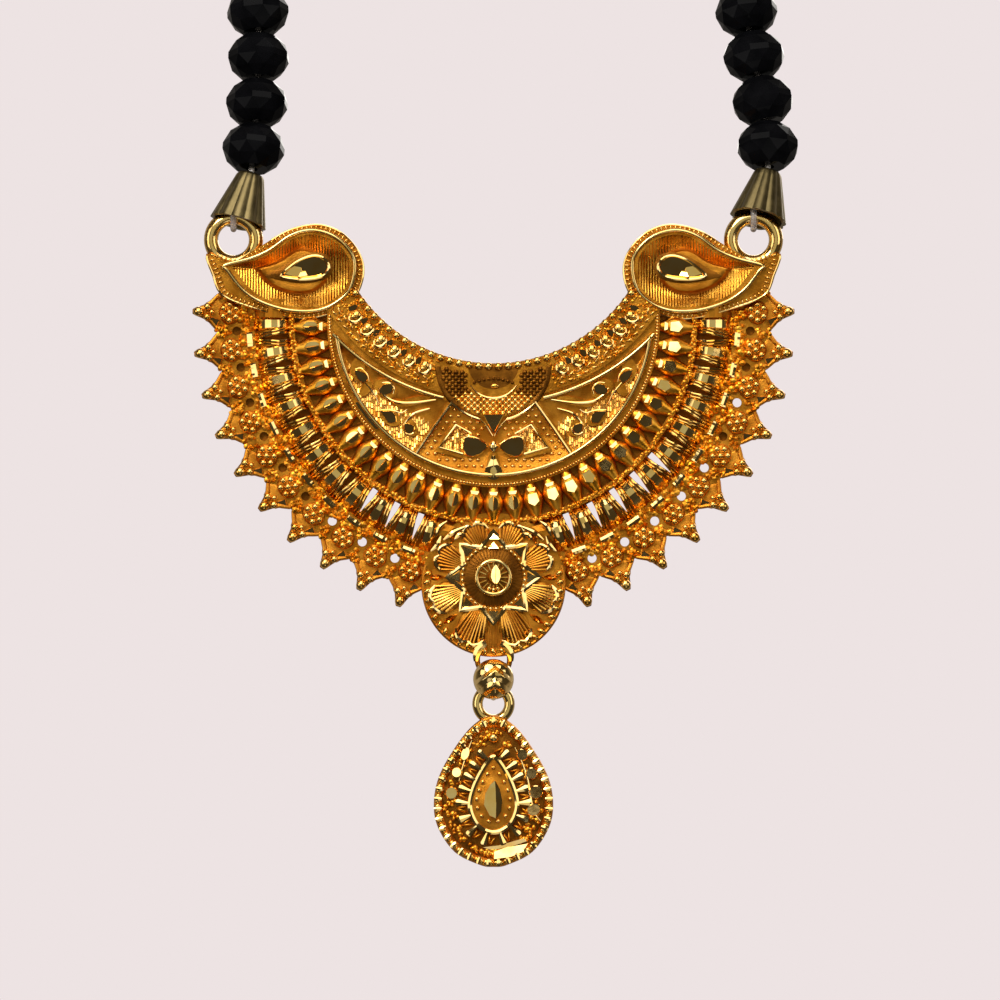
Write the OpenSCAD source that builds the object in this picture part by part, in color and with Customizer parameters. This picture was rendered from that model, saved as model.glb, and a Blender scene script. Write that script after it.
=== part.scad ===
// Mangalsutra: a necklace of black beads with a gold fan-shaped pendant and a teardrop.
// Millimetres. The origin is the middle of the clasp at the nape, +Z is up and the pendant faces -Y.

/* [Fan] */
// Radius of the crescent panel that the bands of the fan go round
panel_r = 12.9; // [12.5:0.1:13.3]
// Width of the wire band round the panel
wire_band = 0.4; // [0.3:0.05:0.5]
// Width of the band of bicones
bicone_band = 2.6; // [2.4:0.1:2.8]
// Width of the grained ridge
ridge_band = 0.4; // [0.3:0.05:0.5]
// Width of the arched ribs
rib_band = 2.8; // [2.6:0.1:3]
// Width of the net beyond the ribs
net_band = 1.1; // [0.9:0.1:1.3]
// Width of the band of flowers
flower_band = 1.9; // [1.7:0.1:2.1]
// Length of a pointed scallop beyond the flowers
scallop_len = 2; // [1.7:0.1:2.4]
// Scallops on each side of the medallion
scallops = 10; // [8:1:10]
// Angle between two scallops, in degrees
scallop_pitch = 8.15; // [7.8:0.05:8.4]
// Angle from straight down to the first scallop, in degrees
scallop_start = 18.5; // [17.5:0.5:20]
// Slots between the ribs, on each side
slots = 10; // [8:1:10]
// Angle between two slots, in degrees
slot_pitch = 7.24; // [7:0.04:7.5]
// Angle from straight down to the first slot, in degrees
slot_start = 20.5; // [19.5:0.5:21.5]
// Width of a slot at its widest
slot_w = 0.62; // [0.5:0.02:0.7]
// Radius of the small holes between the flowers
hole_r = 0.36; // [0.3:0.02:0.4]
// Bicones in their band
bicones = 29; // [25:2:29]
// Angle between two bicones, in degrees
bicone_pitch = 6.3; // [6.1:0.1:6.4]
// Radius of a bicone at its middle
bicone_r = 0.72; // [0.6:0.02:0.74]
// Thickness of the metal
wall = 0.7; // [0.6:0.05:0.8]

/* [Heights over the back] */
// Floor of the crescent panel
panel_z = 1.7; // [1.5:0.1:1.9]
// Seat of the bicones
seat_z = 1; // [0.9:0.05:1.1]
// Crest of the ribs
rib_z = 1.9; // [1.7:0.1:2.1]
// Net and scallops
net_z = 0.75; // [0.65:0.05:0.85]
// Raised rims and motifs, over their floor
relief = 0.45; // [0.35:0.05:0.55]

/* [Inner edge] */
// Radius of the inner edge
inner_r = 13; // [12.8:0.1:13.2]
// Height of the inner edge's centre over the fan's centre
inner_up = 9.6; // [9.4:0.1:9.8]
// Width of the inner band
inner_band = 2.9; // [2.7:0.1:3.1]
// How much the radius of the panel's upper arc is more than the inner edge's
arc_more = 4.4; // [4.3:0.05:4.6]
// How far the centre of the panel's upper arc lies over the inner edge's
arc_up = 1.34; // [1.26:0.02:1.4]
// Studs on the inner band, on each side
studs = 6; // [4:1:6]
// Radius of a stud
stud_r = 0.42; // [0.36:0.02:0.46]

/* [Paisleys] */
// Radius of a paisley's head
paisley_r = 3.85; // [3.7:0.05:4]
// Distance from the middle of the pendant to the head's centre
paisley_out = 14.3; // [14.1:0.1:14.5]
// Height of the head's centre over the fan's centre
paisley_up = 4; // [3.8:0.1:4.2]

/* [Side loops] */
// Radius of a loop at the middle of its wire
loop_r = 1.8; // [1.7:0.05:1.9]
// Radius of a loop's wire
loop_wire_r = 0.56; // [0.5:0.02:0.6]
// Distance from the paisley's head to the loop, outwards
loop_out = 6.5; // [6.4:0.05:6.6]
// Distance from the paisley's head to the loop, upwards
loop_up = 2.5; // [2.4:0.05:2.7]

/* [Medallion] */
// Radius of the medallion
medallion_r = 5.75; // [5.6:0.05:6]
// Distance that its centre lies inside the fan's radius
medallion_in = 1; // [0.8:0.1:1.2]
// Points of its star
star_points = 8; // [6:1:10]
// Radius of the star at its points
star_r = 3.7; // [3.4:0.1:3.9]
// Height of the star's middle over the medallion's
star_up = 0.6; // [0.4:0.05:0.7]
// Radius of the ring under the medallion
ring_r = 1.3; // [1.2:0.05:1.4]
// Radius of that ring's wire
ring_wire_r = 0.22; // [0.2:0.01:0.25]

/* [Ball link] */
// Radius of the ball
ball_r = 1.64; // [1.5:0.02:1.8]
// Radius of the link at the middle of its wire
link_r = 1.16; // [1.14:0.01:1.2]
// Radius of the link's wire
link_wire_r = 0.25; // [0.22:0.01:0.27]

/* [Drop] */
// Width of the drop
drop_w = 9.6; // [9:0.1:10.4]
// Height of the drop
drop_h = 12.2; // [11.4:0.1:13]
// Thickness of the drop at its edge
drop_t = 1.1; // [0.9:0.1:1.3]
// Radius of the drop's ring at the middle of its wire
drop_ring_r = 1.28; // [1.2:0.02:1.4]
// Radius of the drop ring's wire
drop_wire_r = 0.42; // [0.36:0.02:0.44]

/* [Cones] */
// Radius of a cone's mouth
cone_r = 2.3; // [2.26:0.02:2.4]
// Radius of a cone's top
cone_top_r = 1.08; // [1:0.02:1.2]
// Length of a cone
cone_len = 4.15; // [4:0.05:4.4]
// Thickness of a cone's wall
cone_wall = 0.2; // [0.16:0.02:0.22]
// Distance from the left loop's centre to its cone's mouth
cone_lift_left = 1.4; // [1.35:0.05:1.6]
// Distance from the right loop's centre to its cone's mouth
cone_lift_right = 1.7; // [1.5:0.05:1.9]

/* [Strings] */
// Diameter of a bead
bead_d = 5; // [4.6:0.1:5.2]
// Length of a bead along the thread
bead_len = 3.55; // [3.3:0.05:3.55]
// Distance between the middles of two beads
bead_pitch = 3.9; // [3.9:0.01:4.1]
// Diameter of a bead's bore
bore_d = 1; // [0.8:0.05:1.2]
// Diameter of the thread
thread_d = 0.5; // [0.4:0.02:0.6]
// Distance from the nape to the back of the pendant
neck_depth = 122; // [120:0.5:124]
// Drop from the nape to the fan's centre
neck_drop = 110; // [109:0.5:111]

/* [Clasp] */
// Length of the clasp
clasp_len = 8; // [7.6:0.1:8]
// Diameter of the clasp
clasp_d = 4; // [3.6:0.1:4.6]
// Depth of the blind hole at each end of the clasp
clasp_hole = 2; // [1.5:0.1:2.5]

/* [Hidden] */
$fn = 64;

// Radii of the fan's bands, from the panel outwards
wire_r = panel_r + wire_band;
bicone_end_r = wire_r + bicone_band;
rib_start_r = bicone_end_r + ridge_band;
rib_end_r = rib_start_r + rib_band;
net_r = rib_end_r + net_band;
fan_r = net_r + flower_band;
tip_r = fan_r + scallop_len;

// Heights that follow others
wire_z = panel_z + relief / 2;
ridge_z = rib_z - 0.3;
rib_foot_z = seat_z + 0.2;
inner_z = panel_z + relief;
through = 4 * rib_z;
sink = 0.2;
gap = 0.1;
rim_w = 0.35;
bar_w = 0.3;

// The crescent panel's two arcs: their radii and the heights of their centres
crescent_low = [panel_r - 0.1, 0.3];
crescent_high = [inner_r + arc_more, inner_up + arc_up];

// Places of the medallion, the link and the drop, as [up, forward] from the fan's centre and back
mid_z = 0.85;
medallion_up = -(fan_r - medallion_in);
ring_up = medallion_up - medallion_r - 0.22;
ring_low = ring_up - ring_r;
link_up = ring_low + ring_wire_r + gap - link_r + link_wire_r;
link_low = link_up - link_r;
drop_ring_low = link_low + link_wire_r + gap + drop_wire_r - 2 * drop_ring_r;
drop_ring_up = drop_ring_low + drop_ring_r;
drop_bottom = drop_ring_low - drop_h + drop_wire_r;
ball_up = medallion_up - medallion_r - ball_r - 1.5 * gap;
ball_back = mid_z + drop_wire_r + gap;

// Outline of a paisley, as shares of its head's radius outwards and upwards from the head's centre
PAISLEY = [[1.06, 0.55], [0.52, 0.86], [-0.05, 0.97], [-0.52, 0.83], [-0.87, 0.49], [-1.03, 0.1],
           [-0.97, -0.32], [-0.75, -0.68], [-0.36, -0.88], [0.31, -1], [1.17, -0.81], [1.92, -0.52],
           [2.13, -0.1], [2.25, 0.36], [1.72, 0.2], [1.35, 0.38]];
// Its bright inner rim, in the same shares
PAISLEY_RIM = [[1.87, 0.11], [1.35, 0.25], [0.94, 0.43], [0.52, 0.72], [0.1, 0.84], [-0.31, 0.76],
               [-0.64, 0.53], [-0.83, 0.18], [-0.75, -0.34], [-0.46, -0.65], [-0.06, -0.82],
               [0.52, -0.82], [1.1, -0.65], [1.5, -0.38], [1.79, -0.01]];
// Middle of the rim, which its smaller copies shrink towards
PAISLEY_MID = [0.15, -0.02];

// Half outline of the drop, from its bottom up: shares of its half width and of its height
DROP = [[0, 0], [0.23, 0.013], [0.65, 0.098], [0.93, 0.26], [1, 0.418], [0.92, 0.588], [0.68, 0.765],
        [0.35, 0.93], [0, 1]];

// Section of a rib's crest: shares of the way across, and of the rise over the slope between its feet
ARCH = [[0, 0], [0.15, 0.55], [0.33, 0.93], [0.5, 1], [0.7, 0.8], [0.87, 0.42], [1, 0]];

// A petal or cut of the panel's right wing: middle across and up as shares of panel_r, then half length
// and half width as shares of it, and its turn in degrees
WING = [[0.84, -0.3, 0.045, 0.07, 0], [0.79, -0.42, 0.055, 0.03, -55], [0.67, -0.42, 0.075, 0.05, 35],
        [0.64, -0.6, 0.07, 0.045, 30], [0.52, -0.66, 0.06, 0.045, 60], [0.5, -0.5, 0.11, 0.025, -12]];

// The strings' chosen points on the left side, from the collar up and round to the clasp
ROUTE_SIDE = [[-25.5, -107, -63], [-33, -97.5, -51.5], [-41.5, -85, -41.5], [-49, -70, -32.5],
              [-53.5, -53, -24.5], [-53, -36, -17], [-47, -20.5, -10.5], [-37, -9.5, -5.5], [-25, -3, -2],
              [-14, -0.5, -0.4]];
// The points just over each cone, from the fan's centre
ROUTE_LEFT = [[-19, 2.2, 17.4], [-19, 4.8, 26], [-20.8, 8.8, 35.5]];
ROUTE_RIGHT = [[22, 2, 15.6], [20.9, 3.8, 21.5], [20.1, 6, 27.5], [20.7, 9.3, 36]];
clasp_end = [-clasp_len / 2, 0, 0];

// Lean of each cone's axis to the right and to the back, in degrees
LEAN_LEFT = [14.75, 12.6];
LEAN_RIGHT = [12.5, 20];

function mirror_x(points) = [for (p = points) [-p.x, p.y, p.z]];
function spot(side, out, up) = [side * out, -neck_depth - mid_z, up - neck_drop];
function loop_spot(side) = spot(side, paisley_out + loop_out, paisley_up + loop_up);
function axis(lean) = [sin(lean[0]) * cos(lean[1]), sin(lean[1]), cos(lean[0]) * cos(lean[1])];
function mouth(side, lean, lift) = loop_spot(side) + lift * [sin(lean[0]), 0, cos(lean[0])];
function cone_top(side, lean, lift) = mouth(side, lean, lift) + cone_len * axis(lean);
function eye_top(side) = loop_spot(side) + [0, 0, loop_r + eye_r];
eye_wire_r = thread_d / 2;
eye_r = loop_wire_r + eye_wire_r + 1.4 * gap;

// A smooth curve through points: one span of it, then the closed and the open curve
function span_point(a, b, c, d, t) =
    (2 * b + (c - a) * t + (2 * a - 5 * b + 4 * c - d) * t * t + (3 * b - a - 3 * c + d) * t * t * t) / 2;
function closed_curve(p, n) =
    [for (i = [0 : len(p) - 1], k = [0 : n - 1])
        span_point(p[(i + len(p) - 1) % len(p)], p[i], p[(i + 1) % len(p)], p[(i + 2) % len(p)], k / n)];
function open_curve(p, n) =
    let (q = concat([2 * p[0] - p[1]], p, [2 * p[len(p) - 1] - p[len(p) - 2]]))
    concat([for (i = [1 : len(p) - 1], k = [0 : n - 1])
        span_point(q[i - 1], q[i], q[i + 1], q[i + 2], k / n)], [p[len(p) - 1]]);

// Distance along a line of points, and the point at a distance
function sums(v, i = 0, total = 0) =
    i == len(v) ? [total] : concat([total], sums(v, i + 1, total + v[i]));
function distances(p) = sums([for (i = [1 : len(p) - 1]) norm(p[i] - p[i - 1])]);
function point_at(p, d, s) =
    [for (c = [0 : 2]) lookup(s, [for (i = [0 : len(p) - 1]) [d[i], p[i][c]]])];

// Ends of the beads along a string: the first lies on the cone, the last at the clasp
function bead_ends(route) =
    let (p = open_curve(route, 8), d = distances(p), first = (bead_pitch - bead_len) / 2 + gap,
         count = floor((d[len(d) - 1] - first - gap) / bead_pitch))
    [for (k = [0 : count]) point_at(p, d, first + k * bead_pitch)];
route_left = concat([cone_top(-1, LEAN_LEFT, cone_lift_left)],
                    [for (p = ROUTE_LEFT) p + [0, -neck_depth, -neck_drop]], ROUTE_SIDE, [clasp_end]);
route_right = concat([cone_top(1, LEAN_RIGHT, cone_lift_right)],
                     [for (p = ROUTE_RIGHT) p + [0, -neck_depth, -neck_drop]], mirror_x(ROUTE_SIDE),
                     mirror_x([clasp_end]));
ends_left = bead_ends(route_left);
ends_right = bead_ends(route_right);

// The pendant lies flat with its front up, as its modules draw it, and this stands it in its place
module stand() {
    translate([0, -neck_depth, -neck_drop])
        rotate([90, 0, 0])
            children();
}

// Places its children at an angle from straight down and a radius from the fan's centre
module at_angle(angle, radius) {
    rotate(angle - 90)
        translate([radius, 0])
            children();
}

module on_both_sides() {
    children();
    mirror([1, 0, 0])
        children();
}

// The fan's plate with its scallops, seen from the front
module fan_outline() {
    half = [for (i = [0 : scallops - 1], s = [[-0.5, 0], [-0.24, 0.3], [-0.05, 1], [0.05, 1], [0.24, 0.3]])
        let (a = scallop_start + (i + s[0]) * scallop_pitch, r = fan_r + s[1] * scallop_len)
        [r * sin(a), -r * cos(a)]];
    last = scallop_start + (scallops - 0.5) * scallop_pitch;
    right = concat(half, [[fan_r * sin(last), -fan_r * cos(last)]]);
    left = [for (i = [len(right) - 1 : -1 : 0]) [-right[i].x, right[i].y]];
    polygon(concat([[0, 0]], left, right));
}

// Section of the fan through its centre: the front from the middle outwards, then the back
module fan_section() {
    front = [[0, panel_z], [panel_r, panel_z], [panel_r, wire_z], [wire_r, wire_z], [wire_r, seat_z],
             [bicone_end_r, seat_z], [bicone_end_r, ridge_z], [rib_start_r, ridge_z]];
    crest = [for (a = ARCH)
        let (slope = rib_foot_z + (net_z - rib_foot_z) * a[0])
        [rib_start_r + a[0] * rib_band, slope + a[1] * (rib_z - (rib_foot_z + net_z) / 2)]];
    rim = [[tip_r + 1, net_z], [tip_r + 1, 0], [rib_end_r, 0]];
    under = [for (i = [len(ARCH) - 2 : -1 : 0]) [crest[i].x, max(crest[i].y - wall, 0)]];
    back = [[rib_start_r, ridge_z - wall], [bicone_end_r, seat_z - wall], [wire_r - wall, seat_z - wall],
            [wire_r - wall, panel_z - wall], [0, panel_z - wall]];
    polygon(concat(front, crest, rim, under, back));
}

module slot() {
    reach = 0.78 * rib_band;
    shoulder = 0.22 * rib_band;
    translate([0.05 * rib_band, 0, 0])
        linear_extrude(height = through, center = true)
            polygon([[0, -slot_w / 2], [shoulder, -slot_w / 2], [reach, -slot_w / 8], [reach, slot_w / 8],
                     [shoulder, slot_w / 2], [0, slot_w / 2]]);
}

module fan_gaps() {
    for (side = [-1, 1]) {
        for (i = [0 : slots - 1])
            at_angle(side * (slot_start + i * slot_pitch), rib_start_r)
                slot();
        for (i = [0 : scallops - 2])
            at_angle(side * (scallop_start + (i + 0.5) * scallop_pitch), net_r + hole_r)
                cylinder(h = through, r = hole_r, center = true);
    }
}

module fan() {
    difference() {
        intersection() {
            rotate_extrude()
                fan_section();
            linear_extrude(height = through)
                fan_outline();
        }
        fan_gaps();
        translate([0, medallion_up, 0])
            cylinder(h = through, r = medallion_r - sink, center = true);
        translate([0, inner_up, 0])
            cylinder(h = through, r = inner_r, center = true);
    }
}

// Two cones base to base, lying along the radius
module bicone() {
    half = bicone_band / 2 + sink / 2;
    rotate([0, 90, 0]) {
        cylinder(h = half, r1 = bicone_r / 3, r2 = bicone_r);
        translate([0, 0, half])
            cylinder(h = half, r1 = bicone_r, r2 = bicone_r / 3);
    }
}

module bicone_row() {
    for (i = [0 : bicones - 1])
        at_angle((i - (bicones - 1) / 2) * bicone_pitch, wire_r - sink / 2)
            translate([0, 0, seat_z + bicone_r / 2])
                bicone();
}

// The crescent panel's outline, taken in by an inset
module crescent(inset) {
    difference() {
        translate([0, crescent_low[1]])
            circle(r = crescent_low[0] - inset);
        translate([0, crescent_high[1]])
            circle(r = crescent_high[0] + inset);
    }
}

module bar(from, to) {
    run = to - from;
    translate(from)
        rotate(atan2(run.y, run.x))
            translate([0, -bar_w / 2])
                square([norm(run), bar_w]);
}

// The raised lines and petals of the crescent panel, seen from the front
module panel_lines() {
    top = -(crescent_high[0] - crescent_high[1]);
    difference() {
        crescent(0);
        crescent(rim_w);
    }
    on_both_sides() {
        bar([0.27 * panel_r, top], [0.5 * panel_r, top - 0.34 * panel_r]);
        bar([0.24 * panel_r, top - 0.14 * panel_r], [0.35 * panel_r, top - 0.3 * panel_r]);
        bar([0.35 * panel_r, top - 0.3 * panel_r], [0.19 * panel_r, top - 0.34 * panel_r]);
        for (w = WING)
            translate([w[0] * panel_r, w[1] * panel_r])
                rotate(w[4])
                    scale([w[2] / w[3], 1])
                        circle(r = w[3] * panel_r, $fn = 24);
    }
}

// The bow and the bright drop in the middle of the panel
module bow() {
    top = -(crescent_high[0] - crescent_high[1]);
    translate([0, top - 0.31 * panel_r])
        scale(panel_r) {
            on_both_sides()
                translate([0.12, 0.03])
                    scale([1.25, 1])
                        circle(r = 0.055, $fn = 24);
            polygon([[-0.07, 0.245], [0, 0.115], [0.07, 0.245]]);
            polygon([[0, 0.075], [-0.045, -0.09], [0, -0.165], [0.045, -0.09]]);
        }
}

module half_medallion() {
    outer = 0.335 * panel_r;
    inner = 0.16 * panel_r;
    difference() {
        translate([0, -(inner_r - inner_up), panel_z])
            difference() {
                cylinder(h = 1.2 * relief, r = outer);
                translate([0, 0, relief])
                    cylinder(h = relief, r = inner);
            }
        translate([0, inner_up, 0])
            cylinder(h = through, r = inner_r, center = true);
    }
}

module panel() {
    translate([0, 0, panel_z - sink])
        linear_extrude(height = relief + sink)
            panel_lines();
    translate([0, 0, panel_z - sink])
        linear_extrude(height = 1.3 * relief + sink)
            bow();
    half_medallion();
}

// The band along the inner edge, with its rim and studs
module inner_edge() {
    reach = 57;
    far = 2 * (inner_r + inner_band);
    translate([0, inner_up, 0]) {
        intersection() {
            difference() {
                cylinder(h = inner_z, r = inner_r + inner_band);
                translate([0, 0, -1])
                    cylinder(h = through, r = inner_r);
                translate([0, 0, -sink])
                    cylinder(h = inner_z - wall + sink, r = inner_r + inner_band - wall);
            }
            linear_extrude(height = through)
                polygon(concat([[0, 0]], [for (a = [-reach, -reach / 2, 0, reach / 2, reach])
                    far * [sin(a), -cos(a)]]));
        }
        for (side = [-1, 1], i = [0 : studs - 1])
            at_angle(side * (22.5 + 5.5 * i), inner_r + 0.5 * inner_band)
                translate([0, 0, inner_z - sink])
                    cylinder(h = relief + sink, r1 = stud_r, r2 = stud_r / 2);
    }
}

// A paisley's inner rim as an outline, its size a share of the real one
module paisley_shape(share) {
    polygon(closed_curve([for (p = PAISLEY_RIM) paisley_r * (PAISLEY_MID + share * (p - PAISLEY_MID))], 3));
}

// The right paisley with its head at the origin: plate, rim round a sunk dish, and the boss in it
module paisley() {
    floor_z = 1.2;
    rim_z = floor_z + 2 * relief;
    difference() {
        union() {
            linear_extrude(height = floor_z + relief)
                polygon(paisley_r * closed_curve(PAISLEY, 3));
            linear_extrude(height = rim_z)
                paisley_shape(1.04);
        }
        translate([0, 0, floor_z])
            linear_extrude(height = through)
                paisley_shape(0.9);
        translate([0, 0, -sink])
            linear_extrude(height = floor_z - wall + sink)
                paisley_shape(0.8);
    }
    translate([0.12 * paisley_r, 0, floor_z - sink])
        linear_extrude(height = 2 * relief + sink)
            paisley_shape(0.48);
}

module side_loop() {
    translate([loop_out, loop_up, mid_z])
        rotate_extrude()
            translate([loop_r, 0])
                circle(r = loop_wire_r, $fn = 32);
}

module star(radius) {
    polygon([for (i = [0 : 2 * star_points - 1])
        let (a = i * 180 / star_points, r = i % 2 == 0 ? radius : 0.68 * radius)
        r * [sin(a), cos(a)]]);
}

module medallion() {
    base_z = 1.2;
    translate([0, medallion_up, 0]) {
        difference() {
            cylinder(h = base_z + relief, r = medallion_r);
            translate([0, 0, base_z])
                cylinder(h = through, r = medallion_r - 2 * rim_w);
            translate([0, 0, -sink])
                cylinder(h = base_z - wall + sink, r = medallion_r - wall);
        }
        for (i = [0 : star_points - 1])
            rotate((i + 0.5) * 360 / star_points)
                translate([0, 0.72 * medallion_r, base_z - sink])
                    cylinder(h = 0.7 * relief + sink, r1 = 0.19 * medallion_r, r2 = 0.13 * medallion_r);
        translate([0, star_up, base_z]) {
            translate([0, 0, -sink])
                linear_extrude(height = 1.2 * relief + sink)
                    star(star_r);
            difference() {
                cylinder(h = 1.8 * relief, r = 0.4 * star_r);
                translate([0, 0, 1.2 * relief])
                    cylinder(h = relief, r = 0.4 * star_r - bar_w);
            }
            cylinder(h = 2.2 * relief, r1 = 0.25 * star_r, r2 = 0.1 * star_r);
        }
    }
    translate([0, ring_up, mid_z])
        rotate_extrude()
            translate([ring_r, 0])
                circle(r = ring_wire_r, $fn = 32);
}

module pendant() {
    color("goldenrod")
        stand() {
            fan();
            bicone_row();
            panel();
            inner_edge();
            medallion();
            on_both_sides()
                translate([paisley_out, paisley_up, 0]) {
                    paisley();
                    side_loop();
                }
        }
}

// The link goes through the medallion's ring and the drop's ring, with the ball on its front
module ball_link() {
    color("gold")
        stand() {
            translate([0, link_up, mid_z])
                rotate([0, 90, 0])
                    rotate_extrude()
                        translate([link_r, 0])
                            circle(r = link_wire_r, $fn = 32);
            difference() {
                translate([0, ball_up, mid_z + link_r])
                    sphere(r = ball_r);
                translate([-ball_r, ball_up - ball_r, ball_back - 2 * ball_r])
                    cube(2 * ball_r);
            }
        }
}

// The drop's outline, its size a share of the real one
module drop_shape(share) {
    half = [for (p = DROP) [p[0] * drop_w / 2, (p[1] - 0.43) * drop_h] * share];
    left = [for (i = [len(half) - 2 : -1 : 1]) [-half[i].x, half[i].y]];
    translate([0, 0.43 * drop_h])
        polygon(closed_curve(concat(half, left), 4));
}

module drop() {
    color("goldenrod")
        stand() {
            translate([0, drop_bottom, mid_z - drop_t / 2]) {
                difference() {
                    linear_extrude(height = drop_t + relief / 2)
                        drop_shape(1);
                    translate([0, 0, drop_t])
                        linear_extrude(height = drop_t)
                            drop_shape(0.9);
                    translate([0, 0, -sink])
                        linear_extrude(height = drop_t - wall + sink)
                            drop_shape(0.8);
                }
                translate([0, 0, drop_t - sink])
                    linear_extrude(height = 0.7 * relief + sink)
                        drop_shape(0.5);
                translate([0, 0, drop_t - sink])
                    linear_extrude(height = 1.3 * relief + sink)
                        drop_shape(0.28);
            }
            translate([0, drop_ring_up, mid_z])
                rotate_extrude()
                    translate([drop_ring_r, 0])
                        circle(r = drop_wire_r, $fn = 32);
        }
}

// A twelve-sided hollow cone, open at its mouth and bored at its top
module cone(side, lean, lift) {
    color("darkkhaki")
        translate(mouth(side, lean, lift))
            rotate([-lean[1], 0, 0])
                rotate([0, lean[0], 0])
                    rotate_extrude($fn = 12)
                        polygon([[cone_r - cone_wall, 0], [cone_r, 0], [cone_top_r, cone_len],
                                 [bore_d / 2, cone_len], [bore_d / 2, cone_len - cone_wall],
                                 [cone_top_r - cone_wall, cone_len - cone_wall]]);
}

// A faceted rondelle with its middle at the origin and its bore along Z
module bead() {
    side_count = 10;
    face_r = 0.52 * bead_d / 2;
    girdle = 0.15 * bead_len;
    ring = [for (k = [0 : side_count - 1]) [cos(k * 360 / side_count), sin(k * 360 / side_count)]];
    levels = [[face_r, -bead_len / 2], [bead_d / 2, -girdle], [bead_d / 2, girdle],
              [face_r, bead_len / 2]];
    last = len(levels) - 1;
    points = [for (v = levels, q = ring) [v[0] * q.x, v[0] * q.y, v[1]]];
    walls = [for (v = [0 : last - 1], k = [0 : side_count - 1])
        let (a = v * side_count + k, b = v * side_count + (k + 1) % side_count)
        each [[a, b + side_count, b], [a, a + side_count, b + side_count]]];
    caps = [[for (k = [0 : side_count - 1]) k],
            [for (k = [side_count - 1 : -1 : 0]) last * side_count + k]];
    difference() {
        polyhedron(points, concat(walls, caps));
        cylinder(h = 2 * bead_len, d = bore_d, center = true, $fn = 16);
    }
}

module beads(ends) {
    color("black")
        for (i = [1 : len(ends) - 1]) {
            run = ends[i] - ends[i - 1];
            translate((ends[i] + ends[i - 1]) / 2)
                rotate([0, acos(run.z / norm(run)), atan2(run.y, run.x)])
                    bead();
        }
}

// A tube through points, with its rings square to the path
module tube(p, radius, reference) {
    n = 8;
    last = len(p) - 1;
    unit = function(v) v / norm(v);
    points = [for (i = [0 : last])
        let (along = unit(p[min(i + 1, last)] - p[max(i - 1, 0)]),
             across = unit(reference - (reference * along) * along), other = cross(along, across))
        for (k = [0 : n - 1]) p[i] + radius * (cos(k * 360 / n) * across + sin(k * 360 / n) * other)];
    walls = [for (i = [0 : last - 1], k = [0 : n - 1])
        let (a = i * n + k, b = i * n + (k + 1) % n)
        each [[a, b + n, b], [a, a + n, b + n]]];
    caps = [[for (k = [0 : n - 1]) k], [for (k = [n - 1 : -1 : 0]) last * n + k]];
    polyhedron(points, concat(walls, caps));
}

// The thread: an eye round the loop, up the cone, through every bead and into the clasp
module thread(side, lean, lift, ends) {
    neck = cone_top(side, lean, lift) - 2 * cone_wall * axis(lean);
    end = [side * (clasp_len / 2 - clasp_hole + gap), 0, 0];
    color("gainsboro") {
        tube(concat([eye_top(side), neck], ends, [end]), thread_d / 2, [-side, 0, -1]);
        translate(loop_spot(side) + [0, 0, loop_r])
            rotate([0, 90, 0])
                rotate_extrude()
                    translate([eye_r, 0])
                        circle(r = eye_wire_r, $fn = 24);
    }
}

// The plain barrel at the nape, with a blind hole for each thread
module clasp() {
    color("goldenrod")
        rotate([0, 90, 0])
            difference() {
                union() {
                    cylinder(h = clasp_len - clasp_d / 4, d = clasp_d, center = true);
                    cylinder(h = clasp_len, d = 0.8 * clasp_d, center = true);
                }
                for (side = [-1, 1])
                    translate([0, 0, side * clasp_len / 2])
                        cylinder(h = 2 * clasp_hole, d = bore_d, center = true);
            }
}

pendant();
ball_link();
drop();
cone(-1, LEAN_LEFT, cone_lift_left);  // cone_left
cone(1, LEAN_RIGHT, cone_lift_right);  // cone_right
beads(ends_left);  // beads_left
beads(ends_right);  // beads_right
thread(-1, LEAN_LEFT, cone_lift_left, ends_left);  // thread_left
thread(1, LEAN_RIGHT, cone_lift_right, ends_right);  // thread_right
clasp();
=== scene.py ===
# The looks of a mangalsutra: a fan-shaped gold pendant with a medallion, a ball and a teardrop,
# on two strings of black cut beads.
# The gold work is built in the pendant's own millimetres: u to the right and v up from the fan's
# centre, w forward from its back. Angles on the fan are in degrees from straight down.

import math

import bmesh
import bpy
import numpy as np
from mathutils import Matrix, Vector

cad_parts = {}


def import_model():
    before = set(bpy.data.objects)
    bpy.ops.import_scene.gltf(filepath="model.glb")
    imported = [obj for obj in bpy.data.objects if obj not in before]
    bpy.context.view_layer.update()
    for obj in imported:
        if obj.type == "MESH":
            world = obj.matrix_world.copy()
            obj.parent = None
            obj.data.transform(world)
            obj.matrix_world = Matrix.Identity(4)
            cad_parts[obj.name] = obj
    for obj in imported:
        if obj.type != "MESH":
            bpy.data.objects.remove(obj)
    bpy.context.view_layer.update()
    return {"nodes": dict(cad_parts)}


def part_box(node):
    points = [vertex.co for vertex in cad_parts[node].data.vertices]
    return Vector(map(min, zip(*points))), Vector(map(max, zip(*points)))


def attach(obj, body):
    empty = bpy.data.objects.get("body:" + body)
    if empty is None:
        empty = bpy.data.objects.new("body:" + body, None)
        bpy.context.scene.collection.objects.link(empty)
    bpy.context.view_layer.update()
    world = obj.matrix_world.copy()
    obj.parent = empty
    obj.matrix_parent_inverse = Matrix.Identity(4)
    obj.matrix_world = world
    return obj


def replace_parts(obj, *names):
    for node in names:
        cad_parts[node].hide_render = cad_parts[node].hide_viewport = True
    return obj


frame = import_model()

MM = 0.001
RNG = np.random.default_rng(11)

# Place of the fan's centre on the pendant's back, seen from the nape
NECK_DEPTH = -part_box("pendant")[1].y / MM
NECK_DROP = 110.0

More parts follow.
